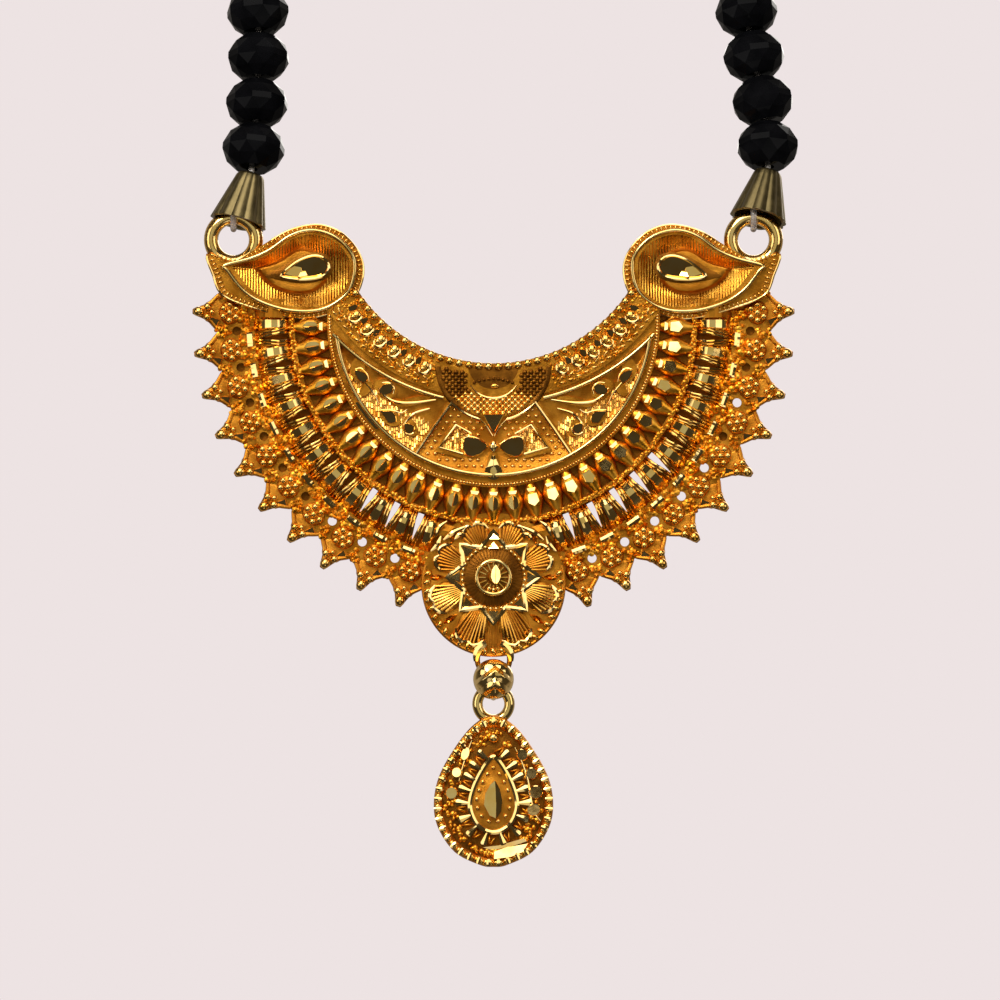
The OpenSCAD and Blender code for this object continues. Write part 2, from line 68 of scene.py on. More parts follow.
# Bands of the fan, from the panel outwards, as in the part's source
PANEL_R = 12.9
WIRE_R = PANEL_R + 0.4
BICONE_END_R = WIRE_R + 2.6
RIB_START_R = BICONE_END_R + 0.4
RIB_BAND = 2.8
RIB_END_R = RIB_START_R + RIB_BAND
NET_R = RIB_END_R + 1.1
FAN_R = NET_R + 1.9
SCALLOP_LEN = 2.0
SCALLOPS = 10
SCALLOP_START = 18.5
SCALLOP_PITCH = 8.15
SLOTS = 10
SLOT_START = 20.5
SLOT_PITCH = 7.24
SLOT_W = 0.62
HOLE_R = 0.36
BICONES = 29
BICONE_PITCH = 6.3
# Angle at which the bands end under the paisleys
BAND_END = 95.0

# From which slot up, and at which holes, each side looks dark in the photograph
FIRST_DARK_SLOT = {-1: 3, 1: 5}
DARK_HOLES = {-1: range(3, SCALLOPS), 1: (5, 7, 8, 9)}

# Heights over the back
PANEL_Z = 1.7
SEAT_LOW_Z = 0.8
SEAT_Z = 1.0
BICONE_Z = 1.4
RIB_Z = 1.9
RIB_FOOT_Z = 1.2
NET_Z = 0.75
RELIEF = 0.45
PANEL_TOP = PANEL_Z + RELIEF
MID_Z = 0.85

# The panel's arcs, the inner edge, the paisleys, the loops and the medallion
ARC_LOW_R = 12.8
ARC_LOW_V = 0.3
ARC_HIGH_R = 17.4
ARC_HIGH_V = 10.94
INNER_R = 13.0
INNER_V = 9.6
HALF_V = -3.5
DISH_V = -4.08
PAISLEY_R = 3.85
PAISLEY_OUT = 14.3
PAISLEY_UP = 4.0
LOOP_OUT = PAISLEY_OUT + 6.5
LOOP_UP = PAISLEY_UP + 2.5
LOOP_R = 1.8
LOOP_WIRE_R = 0.57
MEDALLION_R = 5.75
MEDALLION_V = 1.0 - FAN_R
STAR_V = MEDALLION_V + 0.6
STAR_R = 3.7
STAR_POINTS = 8

# Share of the panel's height up to which its wings are hatched
WING_TOP = 0.58
# The small hatched frame beside the bow, on the right side
FRAME_CORNERS = np.array([[2.98, -8.32], [4.33, -10.1], [2.45, -10.64], [1.74, -9.03]])
# Bright lines of the wings and the bow: half width, and points on the right side
PANEL_LINES = [
    (0.13, [[9.2, -5.38], [8.7, -5.99], [7.81, -6.48], [6.38, -6.54], [4.6, -6.3]]),
    (0.12, [[7.2, -8.35], [6.74, -7.78], [6.2, -7.34], [5.1, -7.0]]),
    (0.07, [[7.35, -8.5], [7.0, -9.0], [6.45, -9.0], [6.2, -8.5]]),
    (0.07, [[11.1, -4.0], [10.2, -5.0], [9.5, -5.9], [9.2, -6.6]]),
    (0.07, [[9.0, -7.1], [8.1, -7.15], [7.4, -7.35], [6.9, -7.1]]),
    (0.06, [[2.25, -10.1], [1.5, -10.2], [0.55, -9.98]]),
    (0.07, [[2.35, -9.35], [1.75, -9.25], [1.1, -9.5], [0.5, -9.85]]),
    (0.07, [[11.05, -3.85], [10.55, -3.8], [10.1, -4.25], [9.95, -4.85]]),
    (0.08, [[8.9, -4.95], [8.35, -4.95], [7.95, -5.35], [8.0, -5.85]])]

# Leaf tips round the medallion: angle from straight up, distance from the star's middle, and turn
LEAF_TIPS = [(45, 4.55, 62), (60, 4.7, 100), (90, 4.5, 0), (134, 4.75, 10), (112, 4.75, 80), (150, 5.1, 70)]
# Leaf tips over the lowest ribs, on the left side
UPPER_TIPS = [[[-4.0, -17.5], [-3.2, -16.9], [-2.0, -16.35]],
              [[-3.1, -17.5], [-2.75, -17.1], [-2.25, -17.05]],
              [[-4.6, -17.2], [-4.3, -16.5], [-3.7, -16.0]],
              [[-5.0, -18.4], [-4.5, -17.9], [-4.2, -17.2]]]

# Section of a rib's crest: shares of the way across, and of the rise over the slope of its feet
ARCH = np.array([[0, 0], [0.15, 0.55], [0.33, 0.93], [0.5, 1], [0.7, 0.8], [0.87, 0.42], [1, 0]])

# Outline and inner rim of a paisley, as shares of its head's radius from the head's centre
PAISLEY = [[1.06, 0.55], [0.52, 0.86], [-0.05, 0.97], [-0.52, 0.83], [-0.87, 0.49], [-1.03, 0.1],
           [-0.97, -0.32], [-0.75, -0.68], [-0.36, -0.88], [0.31, -1], [1.17, -0.81], [1.92, -0.52],
           [2.13, -0.1], [2.25, 0.36], [1.72, 0.2], [1.35, 0.38]]
PAISLEY_RIM = [[1.87, 0.11], [1.35, 0.25], [0.94, 0.43], [0.52, 0.72], [0.1, 0.84], [-0.31, 0.76],
               [-0.64, 0.53], [-0.83, 0.18], [-0.75, -0.34], [-0.46, -0.65], [-0.06, -0.82],
               [0.52, -0.82], [1.1, -0.65], [1.5, -0.38], [1.79, -0.01]]
PAISLEY_MID = np.array([0.15, -0.02])

# Half outline of the drop, from its bottom up: shares of its half width and of its height
DROP = [[0, 0], [0.23, 0.013], [0.65, 0.098], [0.93, 0.26], [1, 0.418], [0.92, 0.588], [0.68, 0.765],
        [0.35, 0.93], [0, 1]]
DROP_W = 9.6
DROP_H = 12.2
DROP_MID = 0.43
# The middle of the drop's rim, as a share of the outline
DROP_RIM = 0.93
# Round cuts of the drop: place from its foot, half sizes, turn, and slope to the right and up
DROP_OVALS = [(-2.26, 9.1, 0.34, 0.58, -20, (0.05, -0.34)), (-2.95, 7.6, 0.42, 0.44, -20, (0.05, -0.28)),
              (-3.36, 5.95, 0.5, 0.52, -20, (0.05, -0.12)), (2.3, 9.0, 0.46, 0.5, 20, (0.0, 0.28)),
              (3.05, 7.5, 0.46, 0.5, 20, (0.0, 0.28)), (3.4, 6.0, 0.56, 0.56, 20, (0.0, 0.28)),
              (3.2, 4.6, 0.6, 0.5, 20, (0.0, 0.28))]

# The strings' chosen points on the left side, from the collar up and round to the clasp
ROUTE_SIDE = [[-25.5, -107, -63], [-33, -97.5, -51.5], [-41.5, -85, -41.5], [-49, -70, -32.5],
              [-53.5, -53, -24.5], [-53, -36, -17], [-47, -20.5, -10.5], [-37, -9.5, -5.5],
              [-25, -3, -2], [-14, -0.5, -0.4], [-4, 0, 0]]
# The points just over each cone, from the fan's centre: right, back and up
ROUTE_NEAR = {-1: [[-19, 2.2, 17.4], [-19, 4.8, 26], [-20.8, 8.8, 35.5]],
              1: [[22, 2, 15.6], [20.9, 3.8, 21.5], [20.1, 6, 27.5], [20.7, 9.3, 36]]}
# Lean of each cone's axis to the right and to the back, in degrees, and its mouth over its loop
LEAN = {-1: (14.75, 12.6), 1: (12.5, 20)}
CONE_LIFT = {-1: 1.4, 1: 1.7}
CONE_R = 2.3
CONE_TOP_R = 1.08
CONE_LEN = 4.15
CONE_WALL = 0.2
CONE_FLUTES = 12
BEAD_R = 2.5
BEAD_SHOULDER_R = 2.12
BEAD_END_R = 1.34
BEAD_LEN = 3.55
BEAD_PITCH = 3.9
BEAD_SIDES = 10
BORE_R = 0.5
GAP = 0.1

# The link, the ball and the drop, from the ring under the medallion down
RING_V = MEDALLION_V - MEDALLION_R - 0.22
RING_LOW = RING_V - 1.3
LINK_R = 1.16
LINK_WIRE_R = 0.25
LINK_V = RING_LOW + 0.22 + GAP - LINK_R + LINK_WIRE_R
DROP_RING_R = 1.28
DROP_WIRE_R = 0.42
DROP_RING_V = LINK_V - LINK_R + LINK_WIRE_R + GAP + DROP_WIRE_R - DROP_RING_R
DROP_V = DROP_RING_V - DROP_RING_R - DROP_H + DROP_WIRE_R
DROP_MIDDLE = np.array([0, DROP_V + DROP_MID * DROP_H])
FRAME_MIDDLE = np.array([0, DROP_V + 5.75])
DROP_BACK = MID_Z - 0.55
DROP_FRONT = MID_Z + 0.55
BALL_R = 1.64
BALL_V = MEDALLION_V - MEDALLION_R - BALL_R - 1.5 * GAP
BALL_BACK = MID_Z + DROP_WIRE_R + GAP


# Shapes. A part is its points and a list of face arrays

def icosphere(level):
    bm = bmesh.new()
    bmesh.ops.create_icosphere(bm, subdivisions=level, radius=1)
    points = np.array([v.co for v in bm.verts])
    faces = np.array([[v.index for v in f.verts] for f in bm.faces])
    bm.free()
    return points, [faces]


BALLS = {level: icosphere(level) for level in (1, 2, 3, 6)}


def join(parts):
    """Several parts as one."""
    points, faces, start = [], [], 0
    for p, f in parts:
        points.append(np.asarray(p, float))
        faces += [np.asarray(a) + start for a in f]
        start += len(p)
    return np.concatenate(points), faces


def copies(part, places):
    """The part at each place: an origin and the three axes that its own axes turn into."""
    points, faces = part
    places = np.asarray(places, float)
    moved = places[:, None, 0] + np.einsum("nk,mkd->mnd", points, places[:, 1:])
    starts = np.arange(len(places)) * len(points)
    return (moved.reshape(-1, 3),
            [(starts[:, None, None] + f[None]).reshape(-1, f.shape[1]) for f in faces])


def mirrored(part, flip=(-1, 1, 1)):
    """The part's mirror image, from left to right unless flip names another axis."""
    return part[0] * flip, [f[:, ::-1] for f in part[1]]


def both(part):
    """The part and its mirror image on the other side of the pendant."""
    return join([part, mirrored(part)])


def moved(part, u=0.0, v=0.0, w=0.0):
    """The part shifted to the right, up and forward."""
    return part[0] + [u, v, w], part[1]


def cos_sin(angle):
    """Cosine and sine of an angle in degrees."""
    return math.cos(math.radians(angle)), math.sin(math.radians(angle))


def around(angle, radius, w=0.0, size=(1, 1, 1), middle_v=0.0):
    """A place on a circle, with its axes outward, along the circle and forward."""
    c, s = cos_sin(angle)
    out = np.array([s, -c, 0])
    along = np.array([c, s, 0])
    return [radius * out + [0, middle_v, w], size[0] * out, size[1] * along, [0, 0, size[2]]]


def balls(centres, radii, level=2):
    """Round grains, with one radius or row of three half lengths for all, or one for each."""
    centres = np.asarray(centres, float)
    sizes = np.asarray(radii, float)
    sizes = np.broadcast_to(sizes.reshape(-1, sizes.shape[-1] if sizes.ndim == 2 else 1),
                            (len(centres), 3))
    places = np.concatenate([centres[:, None], sizes[:, :, None] * np.eye(3)], axis=1)
    return copies(BALLS[level], places)


def loft(rings, closed=False):
    """Quads between rings of equally many points. Open ends are closed with a fan of triangles."""
    rings = np.asarray(rings, float)
    count, n = rings.shape[:2]
    points = rings.reshape(-1, 3)
    k = np.arange(n)
    after = (k + 1) % n
    here = (np.arange(count if closed else count - 1) * n)[:, None]
    there = (here + n) % (count * n)
    faces = [np.stack([here + k, here + after, there + after, there + k], axis=2).reshape(-1, 4)]
    if not closed:
        middle = len(points)
        last = (count - 1) * n
        points = np.concatenate([points, [rings[0].mean(0), rings[-1].mean(0)]])
        faces.append(np.stack([after, k, np.full(n, middle)], axis=1))
        faces.append(np.stack([last + k, last + after, np.full(n, middle + 1)], axis=1))
    return points, faces


def turns(count):
    """The angles of a full turn in equal steps, in radians."""
    return np.arange(count) * 2 * math.pi / count


def unit(vectors):
    """The same directions with a length of 1."""
    return vectors / np.linalg.norm(vectors, axis=-1, keepdims=True)


def left_of(along):
    """Flat directions turned a quarter to the left."""
    return np.column_stack([-along[:, 1], along[:, 0]])


def headings(path, closed):
    """The direction of a path at each of its points."""
    if closed:
        return unit(np.roll(path, -1, 0) - np.roll(path, 1, 0))
    return unit(np.gradient(path, axis=0))


def tube(path, radius, sides=8, closed=False, flat=1.0):
    """A wire along a path; flat is its thickness forward as a share of its width."""
    path = np.asarray(path, float)
    along = headings(path, closed)
    side = unit(np.cross(along, [0, 0, 1.0]))
    up = np.cross(side, along)
    turn = turns(sides)[None, :, None]
    r = np.broadcast_to(radius, len(path))[:, None, None]
    return loft(path[:, None] + r * (np.cos(turn) * side[:, None] + flat * np.sin(turn) * up[:, None]),
                closed)


def swell(thin, more, count, start=0.0, end=math.pi):
    """Values along a line, such as half widths: low at its ends and higher between them."""
    return thin + more * np.sin(np.linspace(start, end, count))


def ridged(path, half, low, high, closed=False, slope=0.5):
    """A bar along a flat path, with upright sides and a crest like a roof."""
    path = np.asarray(path, float)
    half = np.broadcast_to(half, len(path))
    side = half[:, None] * left_of(headings(path, closed))
    eaves = high - slope * half
    rings = [lifted(path - side, low), lifted(path - side, eaves), lifted(path, high),
             lifted(path + side, eaves), lifted(path + side, low)]
    return loft(np.array(rings).transpose(1, 0, 2), closed)


def smooth_curve(points, steps, closed=False):
    """A Catmull-Rom curve through points."""
    p = np.asarray(points, float)
    if closed:
        q = np.concatenate([p[-1:], p, p[:2]])
    else:
        q = np.concatenate([2 * p[:1] - p[1:2], p, 2 * p[-1:] - p[-2:-1]])
    t = (np.arange(steps) / steps)[:, None]
    spans = []
    for a, b, c, d in zip(q, q[1:], q[2:], q[3:]):
        spans.append((2 * b + (c - a) * t + (2 * a - 5 * b + 4 * c - d) * t ** 2
                      + (3 * b - a - 3 * c + d) * t ** 3) / 2)
    curve = np.concatenate(spans)
    return curve if closed else np.concatenate([curve, p[-1:]])


def lifted(points, w):
    """Flat points with their height, one for all or one for each."""
    points = np.asarray(points, float)
    return np.column_stack([points, np.broadcast_to(w, len(points))])


def arc(radius, start, end, count, middle_v=0.0):
    """Points on a circle, from one angle to another from straight down."""
    a = np.radians(np.linspace(start, end, count))
    return np.column_stack([radius * np.sin(a), middle_v - radius * np.cos(a)])


def circle(radius, middle_v):
    """Sixty points round a full circle."""
    return arc(radius, 0, 354, 60, middle_v)


def wire_ring(u, v, radius, wire_r):
    """A round ring that faces forward."""
    a = turns(48)
    return tube(lifted(np.column_stack([u + radius * np.sin(a), v + radius * np.cos(a)]), MID_Z),
                wire_r, 16, closed=True)


def run_along(path):
    """Length of a path from its start to each of its points."""
    return np.concatenate([[0], np.cumsum(np.linalg.norm(np.diff(path, axis=0), axis=1))])


def points_at(path, run, at):
    """Points of a path at these lengths from its start."""
    return np.column_stack([np.interp(at, run, path[:, k]) for k in range(path.shape[1])])


def evenly(path, pitch, closed=False):
    """Points along a path a pitch apart, and the direction of the path at each."""
    path = np.asarray(path, float)
    if closed:
        path = np.concatenate([path, path[:1]])
    run = run_along(path)
    count = max(int(round(run[-1] / pitch)), 1)
    at = (np.arange(count) + 0.5) * run[-1] / count
    step = pitch / 9
    return points_at(path, run, at), unit(points_at(path, run, at + step) - points_at(path, run, at - step))


def grains_along(path, w, pitch, size, closed=False, level=2, slant=0.0):
    """Grains along a flat path, their half lengths along it, across it and forward."""
    here, along = evenly(path, pitch, closed)
    c, s = cos_sin(slant)
    along = along @ np.array([[c, s], [-s, c]])
    places = [[[*p, w], [*(size[0] * a), 0], [*(size[1] * b), 0], [0, 0, size[2]]]
              for p, a, b in zip(here, along, left_of(along))]
    return copies(BALLS[level], places)


def shell(outline, middle, profile):
    """Rings of an outline, each shrunk to a share about the middle and raised, closed at both ends."""
    return loft([lifted(middle + share * (outline - middle), w) for share, w in profile])


def cut_face(outline, low, top, bevel=0.05, slope=(0.0, 0.0)):
    """A flat polished cut: a thin plate with bevelled edges, its top sloping to both sides."""
    outline = np.asarray(outline, float)
    middle = outline.mean(0)
    inner = middle + (1 - bevel / np.abs(outline - middle).max()) * (outline - middle)
    edge_w = top - bevel + (outline - middle) @ np.asarray(slope)
    inner_w = top + (inner - middle) @ np.asarray(slope)
    return loft([lifted(outline, low), lifted(outline, edge_w), lifted(inner, inner_w)])


def cut_over(outline, low, floor, bevel=0.05, slope=(0.0, 0.0)):
    """A polished cut whose lowest edge clears a floor, so that nothing under it comes through."""
    outline = np.asarray(outline, float)
    rise = (outline - outline.mean(0)) @ np.asarray(slope)
    return cut_face(outline, low, floor + bevel - rise.min(), bevel, slope)


def leaning(angle, to_right, up):
    """A slope to the right and up, seen from a place at an angle on the fan."""
    c, s = cos_sin(angle)
    return to_right * s - up * c, to_right * c + up * s


def facing(angle, amount):
    """The slope that turns a face at an angle on the fan down, or with a minus up."""
    return leaning(angle, 0, amount)


def added(name, data):
    """A new object in the scene."""
    obj = bpy.data.objects.new(name, data)
    bpy.context.scene.collection.objects.link(obj)
    return obj


def piece(name, parts, material, body="root", sharp=38.0):
    """Joins the parts into one mesh in the frame, in metres, that rides on a body."""
    points, faces = join(parts)
    world = np.column_stack([points[:, 0], -NECK_DEPTH - points[:, 2], points[:, 1] - NECK_DROP])
    mesh = bpy.data.meshes.new(name)
    mesh.from_pydata((world * MM).tolist(), [], [f for a in faces for f in a.tolist()])
    bm = bmesh.new()
    bm.from_mesh(mesh)
    bmesh.ops.recalc_face_normals(bm, faces=bm.faces)
    bm.to_mesh(mesh)
    bm.free()
    mesh.shade_smooth()
    mesh.set_sharp_from_angle(angle=math.radians(sharp))
    mesh.materials.append(material)
    obj = added(name, mesh)
    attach(obj, body)
    return obj


# Materials

# Between these two values of a noise, colour and roughness run from one limit to the other
NOISE_LOW = 0.35
NOISE_HIGH = 0.65


def node_material(name):
    """A new material with its nodes, its links and its main shader."""
    material = bpy.data.materials.new(name)
    material.use_nodes = True
    nodes, links = material.node_tree.nodes, material.node_tree.links
    return material, nodes, links, nodes["Principled BSDF"]


def noise(nodes, links, scale, detail=3.0):
    """Noise in the object's own coordinates; its grain is about a metre over the scale."""
    where = nodes.new("ShaderNodeTexCoord")
    texture = nodes.new("ShaderNodeTexNoise")
    texture.inputs["Scale"].default_value = scale
    texture.inputs["Detail"].default_value = detail
    links.new(where.outputs["Object"], texture.inputs["Vector"])
    return texture


def spread(nodes, links, source, low, high):
    """Turns noise into a number between two limits."""
    chart = nodes.new("ShaderNodeMapRange")
    limits = {"From Min": NOISE_LOW, "From Max": NOISE_HIGH, "To Min": low, "To Max": high}
    for socket, value in limits.items():
        chart.inputs[socket].default_value = value
    links.new(source, chart.inputs["Value"])
    return chart.outputs["Result"]


def colour_ramp(nodes, low, dark, high, light):
    """A chart from one colour to another between two values."""
    ramp = nodes.new("ShaderNodeValToRGB")
    for end, position, colour in zip(ramp.color_ramp.elements, (low, high), (dark, light)):
        end.position = position
        end.color = (*colour, 1)
    return ramp


def clouded(name, scale, dark, light, rough):
    """A material whose colour and roughness vary together, with one slow noise."""
    material, nodes, links, shader = node_material(name)
    cloud = noise(nodes, links, scale).outputs["Fac"]
    ramp = colour_ramp(nodes, NOISE_LOW, dark, NOISE_HIGH, light)
    links.new(cloud, ramp.inputs["Fac"])
    links.new(ramp.outputs["Color"], shader.inputs["Base Color"])
    links.new(spread(nodes, links, cloud, *rough), shader.inputs["Roughness"])
    return material, nodes, links, shader


def bump_from(nodes, links, source, strength, depth_mm):
    """A bump whose height follows a texture."""
    bump = nodes.new("ShaderNodeBump")
    bump.inputs["Strength"].default_value = strength
    bump.inputs["Distance"].default_value = depth_mm * MM
    links.new(source, bump.inputs["Height"])
    return bump


def gold(name, deep, light, rough, grain_mm, bump, hatch_mm=0.0):
    """Gold plate: colour and roughness vary over millimetres, and a fine bump gives its grain."""
    material, nodes, links, shader = clouded(name, 900.0, deep, light, rough)
    shader.inputs["Metallic"].default_value = 1.0
    fine = noise(nodes, links, 1 / (grain_mm * MM), 2.0)
    height = bump_from(nodes, links, fine.outputs["Fac"], bump, 0.02)
    if hatch_mm:
        where = nodes.new("ShaderNodeTexCoord")
        lines = nodes.new("ShaderNodeTexWave")
        lines.wave_type = "BANDS"
        lines.bands_direction = "X"
        lines.inputs["Scale"].default_value = math.pi / (10 * hatch_mm * MM)
        lines.inputs["Distortion"].default_value = 1.5
        lines.inputs["Detail"].default_value = 1.0
        links.new(where.outputs["Object"], lines.inputs["Vector"])
        ridges = bump_from(nodes, links, lines.outputs["Fac"], 0.7, 0.05)
        links.new(ridges.outputs["Normal"], height.inputs["Normal"])
    links.new(height.outputs["Normal"], shader.inputs["Normal"])
    return material


def black_glass():
    """The black crystal of the beads, so dark that only its facets' glints show."""
    dark, light = (0.002, 0.002, 0.0025), (0.005, 0.005, 0.006)
    material, _, _, shader = clouded("black_cut_glass", 400.0, dark, light, (0.05, 0.13))
    shader.inputs["IOR"].default_value = 1.52
    shader.inputs["Specular IOR Level"].default_value = 0.04
    return material


def clear_nylon():
    """The clear thread of the strings."""
    dark, light = (0.62, 0.55, 0.5), (0.85, 0.8, 0.76)
    material, _, _, shader = clouded("clear_nylon", 1500.0, dark, light, (0.12, 0.25))
    shader.inputs["Transmission Weight"].default_value = 0.6
    shader.inputs["IOR"].default_value = 1.53
    return material


BROWN = (0.4, 0.14, 0.01)
DEEP = (0.62, 0.26, 0.025)
WARM = (0.85, 0.42, 0.06)
YELLOW = (1.0, 0.63, 0.18)
PALE = (1.0, 0.72, 0.29)
# Painted shade: a dark brown gold for hollows, slopes turned from the light and sheets set where only shade
# lies.
PAINTED_SHADE = gold("painted_shade_gold", (0.15, 0.05, 0.006), (0.3, 0.11, 0.012), (0.36, 0.5), 0.12, 1.0)
GROUND = gold("ground_gold", BROWN, DEEP, (0.34, 0.46), 0.12, 1.0)
SATIN = gold("satin_gold", (0.52, 0.17, 0.013), (0.74, 0.3, 0.03), (0.34, 0.44), 0.09, 0.9)
HATCHED = gold("hatched_gold", (0.52, 0.19, 0.015), (0.85, 0.42, 0.055), (0.2, 0.3), 0.12, 0.6,
               hatch_mm=0.22)
CAST = gold("cast_gold", (0.8, 0.33, 0.02), (0.95, 0.46, 0.05), (0.26, 0.4), 0.15, 1.0)
GRAIN = gold("grain_gold", WARM, YELLOW, (0.1, 0.2), 0.2, 0.3)
HATCH = gold("hatch_gold", (0.8, 0.36, 0.05), (0.98, 0.55, 0.13), (0.18, 0.28), 0.15, 0.5)
# Painted glow: a hot orange gold for the lumps on the net.
PAINTED_GLOW = gold("painted_glow_gold", (0.9, 0.36, 0.02), (1.0, 0.5, 0.05), (0.3, 0.45), 0.3, 0.3)
# Painted light: a brighter gold for the ribs of the lower medallion petals.
LIT_LEAF_GOLD = gold("lit_leaf_gold", (0.68, 0.29, 0.03), (0.95, 0.5, 0.09), (0.16, 0.28), 0.15, 0.5)
BRIGHT = gold("bright_gold", YELLOW, PALE, (0.07, 0.14), 0.4, 0.15)
MIRROR = gold("diamond_cut_gold", YELLOW, PALE, (0.03, 0.07), 0.6, 0.05)
CONE = gold("cone_gold", (0.185, 0.142, 0.062), (0.27, 0.205, 0.09), (0.34, 0.42), 0.4, 0.15)
GLASS = black_glass()
NYLON = clear_nylon()


# The fan

def arch_top(radius):
    """Height of the rib band's own surface at a radius."""
    share = (np.asarray(radius) - RIB_START_R) / RIB_BAND
    rise = RIB_Z - (RIB_FOOT_Z + NET_Z) / 2
    return RIB_FOOT_Z + (NET_Z - RIB_FOOT_Z) * share + np.interp(share, ARCH[:, 0], ARCH[:, 1]) * rise


def slot_angle(side, step):
    """Angle on the fan of a slot, counted upwards from the lowest."""
    return side * (SLOT_START + step * SLOT_PITCH)


def hole_angle(side, step):
    """Angle on the fan of the hole over a scallop, counted upwards from the lowest."""
    return side * (SCALLOP_START + (step + 0.5) * SCALLOP_PITCH)


def rib(flat):
    """One polished rib along the radius, rounded, or with diamond-cut flats along its crest."""
    shares = np.array([-0.03, 0.14, 0.34, 0.52, 0.7, 0.88, 1.03]) if flat else np.linspace(-0.03, 1.03, 19)
    turn = np.linspace(math.pi, 0, 9)
    rings = []
    for share in shares:
        r = RIB_START_R + share * RIB_BAND
        base = float(arch_top(r))
        low = base - 0.25
        top = base + 0.34 * math.sqrt(max(1 - (1.8 * share - 0.9) ** 2, 0.1))
        half = 0.44 + 0.12 * share
        if flat:
            crest = [(-half, top - 0.22), (-0.62 * half, top), (0.62 * half, top), (half, top - 0.22)]
        else:
            crest = [(half * math.cos(t), low + (top - low) * math.sin(t) ** 0.7) for t in turn]
        rings.append([[r, y, z] for y, z in [(-half, low), *crest, (half, low)]])
    return loft(rings)


def ribs():
    """The ribs on both sides, the lowest three of them rounded."""
    return [copies(rib(step > 2), [around(slot_angle(side, step - 0.5), 0)])
            for step in range(SLOTS + 1) for side in (-1, 1)]


def slot_wires():
    """A thin wire along each edge of every slot, and a bright line up each rib's flank."""
    x = np.linspace(-0.02 * RIB_BAND, RIB_BAND, 18)
    half = np.interp(x, [0.27 * RIB_BAND, 0.83 * RIB_BAND], [SLOT_W / 2, SLOT_W / 8])
    r = RIB_START_R + x
    wires = [tube(np.column_stack([r, side * (half + off), arch_top(r) + up]), size)
             for off, up, size in ((0.05, 0.05, 0.12), (0.3, 0.16, 0.07)) for side in (-1, 1)]
    return copies(join(wires), [around(slot_angle(side, i), 0) for side in (-1, 1) for i in range(SLOTS)])


def slot_shade_webs():
    """Webs of painted shade at the back of the upper slots, which are open: dark sheets that make them look
    dark.
    """
    start_r = RIB_START_R - 0.05
    section = [[start_r, 0.3], [start_r, 0.55], [RIB_END_R, 0.5], [RIB_END_R, 0.3]]
    web = loft([[[r, side * (SLOT_W / 2 + 0.04), w] for r, w in section] for side in (-1, 1)])
    return copies(web, [around(slot_angle(side, i), 0)
                        for side in (-1, 1) for i in range(FIRST_DARK_SLOT[side], SLOTS)])


def hole_shade_webs():
    """Webs of painted shade at the back of the upper holes between the flowers, which make them look dark
    too.
    """
    a = turns(12)
    disc = (HOLE_R + 0.05) * np.column_stack([np.sin(a), np.cos(a)])
    web = loft([lifted(disc, w) for w in (0.05, 0.17)])
    return copies(web, [around(hole_angle(side, i), NET_R + HOLE_R)
                        for side in (-1, 1) for i in DARK_HOLES[side]])


def net_bars():
    """A short bright toothed bar across the end of each slot."""
    along = np.linspace(-0.56, 0.56, 15)
    teeth = RNG.uniform(0.0, 0.05, 15)
    bar = ridged(np.column_stack([0 * along, along]), 0.2 + teeth, -0.2, 0.26 + 0.7 * teeth)
    places = [around(slot_angle(side, i), RIB_END_R + 0.45, NET_Z + 0.3)
              for side in (-1, 1) for i in range(SLOTS)]
    return copies(bar, places)


def clumps(angles, reach, radii, heights, count, sizes, level):
    """Lumps scattered on the net round each of the angles, within a reach in degrees."""
    centres, half_lengths = [], []
    for angle in angles:
        for _ in range(count):
            c, s = cos_sin(angle + RNG.uniform(-reach, reach))
            r = RNG.uniform(*radii)
            centres.append([r * s, -r * c, NET_Z + RNG.uniform(*heights)])
            half_lengths.append(RNG.uniform(*sizes, 3))
    return balls(centres, half_lengths, level)


def embers():
    """Smooth lumps between the slots and the flowers, in a hot orange gold as painted glow."""
    return clumps(scallop_angles(), 1.7, (NET_R - 0.45, NET_R + 0.25), (0.05, 0.15), 5, (0.24, 0.4), 2)


def net_crumbs():
    """Rough cast crumbs scattered over the band between the ribs and the flowers."""
    count, end = 560, 94
    places = []
    while len(places) < count:
        angle = RNG.uniform(-end, end)
        r = RNG.uniform(RIB_END_R + 0.05, NET_R + 0.15)
        size = 0.27 * RNG.uniform(0.6, 1.3, 3)
        if clear_of_holes(angle, r):
            spot = around(angle + RNG.uniform(-1, 1), r, NET_Z + 0.05 + RNG.uniform(-0.03, 0.06))
            places.append(spot[:1] + around(RNG.uniform(0, 180), 0, size=size)[1:])
    return copies(BALLS[1], places)


def clear_of_holes(angle, r):
    """True where neither a hole between the flowers nor the medallion lies."""
    c, s = cos_sin(angle)
    if math.hypot(r * s, -r * c - MEDALLION_V) < MEDALLION_R:
        return False
    nearest = hole_angle(1, round((abs(angle) - SCALLOP_START) / SCALLOP_PITCH - 0.5))
    off = math.radians(abs(abs(angle) - nearest)) * r
    return math.hypot(off, r - NET_R - HOLE_R) > HOLE_R + 0.12


def scallop_angles():
    """Angles on the fan of the scallops and their flowers."""
    return [side * (SCALLOP_START + i * SCALLOP_PITCH) for side in (-1, 1) for i in range(SCALLOPS)]


def scallop():
    """A smooth horn along the radius, from the flower to its tip."""
    table = smooth_curve([[-0.16, 0.9, 0.8], [0.0, 1.42, 0.8], [0.1, 1.22, 0.82], [0.2, 1.0, 0.84],
                          [0.32, 0.8, 0.88], [0.48, 0.64, 0.92], [0.64, 0.5, 0.92], [0.8, 0.38, 0.9],
                          [0.93, 0.27, 0.86], [1.0, 0.18, 0.8]], 3)
    turn = np.linspace(math.pi, 0, 11)
    low, base = -0.02, 0.66
    rings = []
    for share, half, top in table:
        crest = [(half * math.cos(t), base + (top - base) * math.sin(t) ** 0.8) for t in turn]
        rings.append([[FAN_R + share * SCALLOP_LEN, y, z] for y, z in [(-half, low), *crest, (half, low)]])
    return loft(rings)


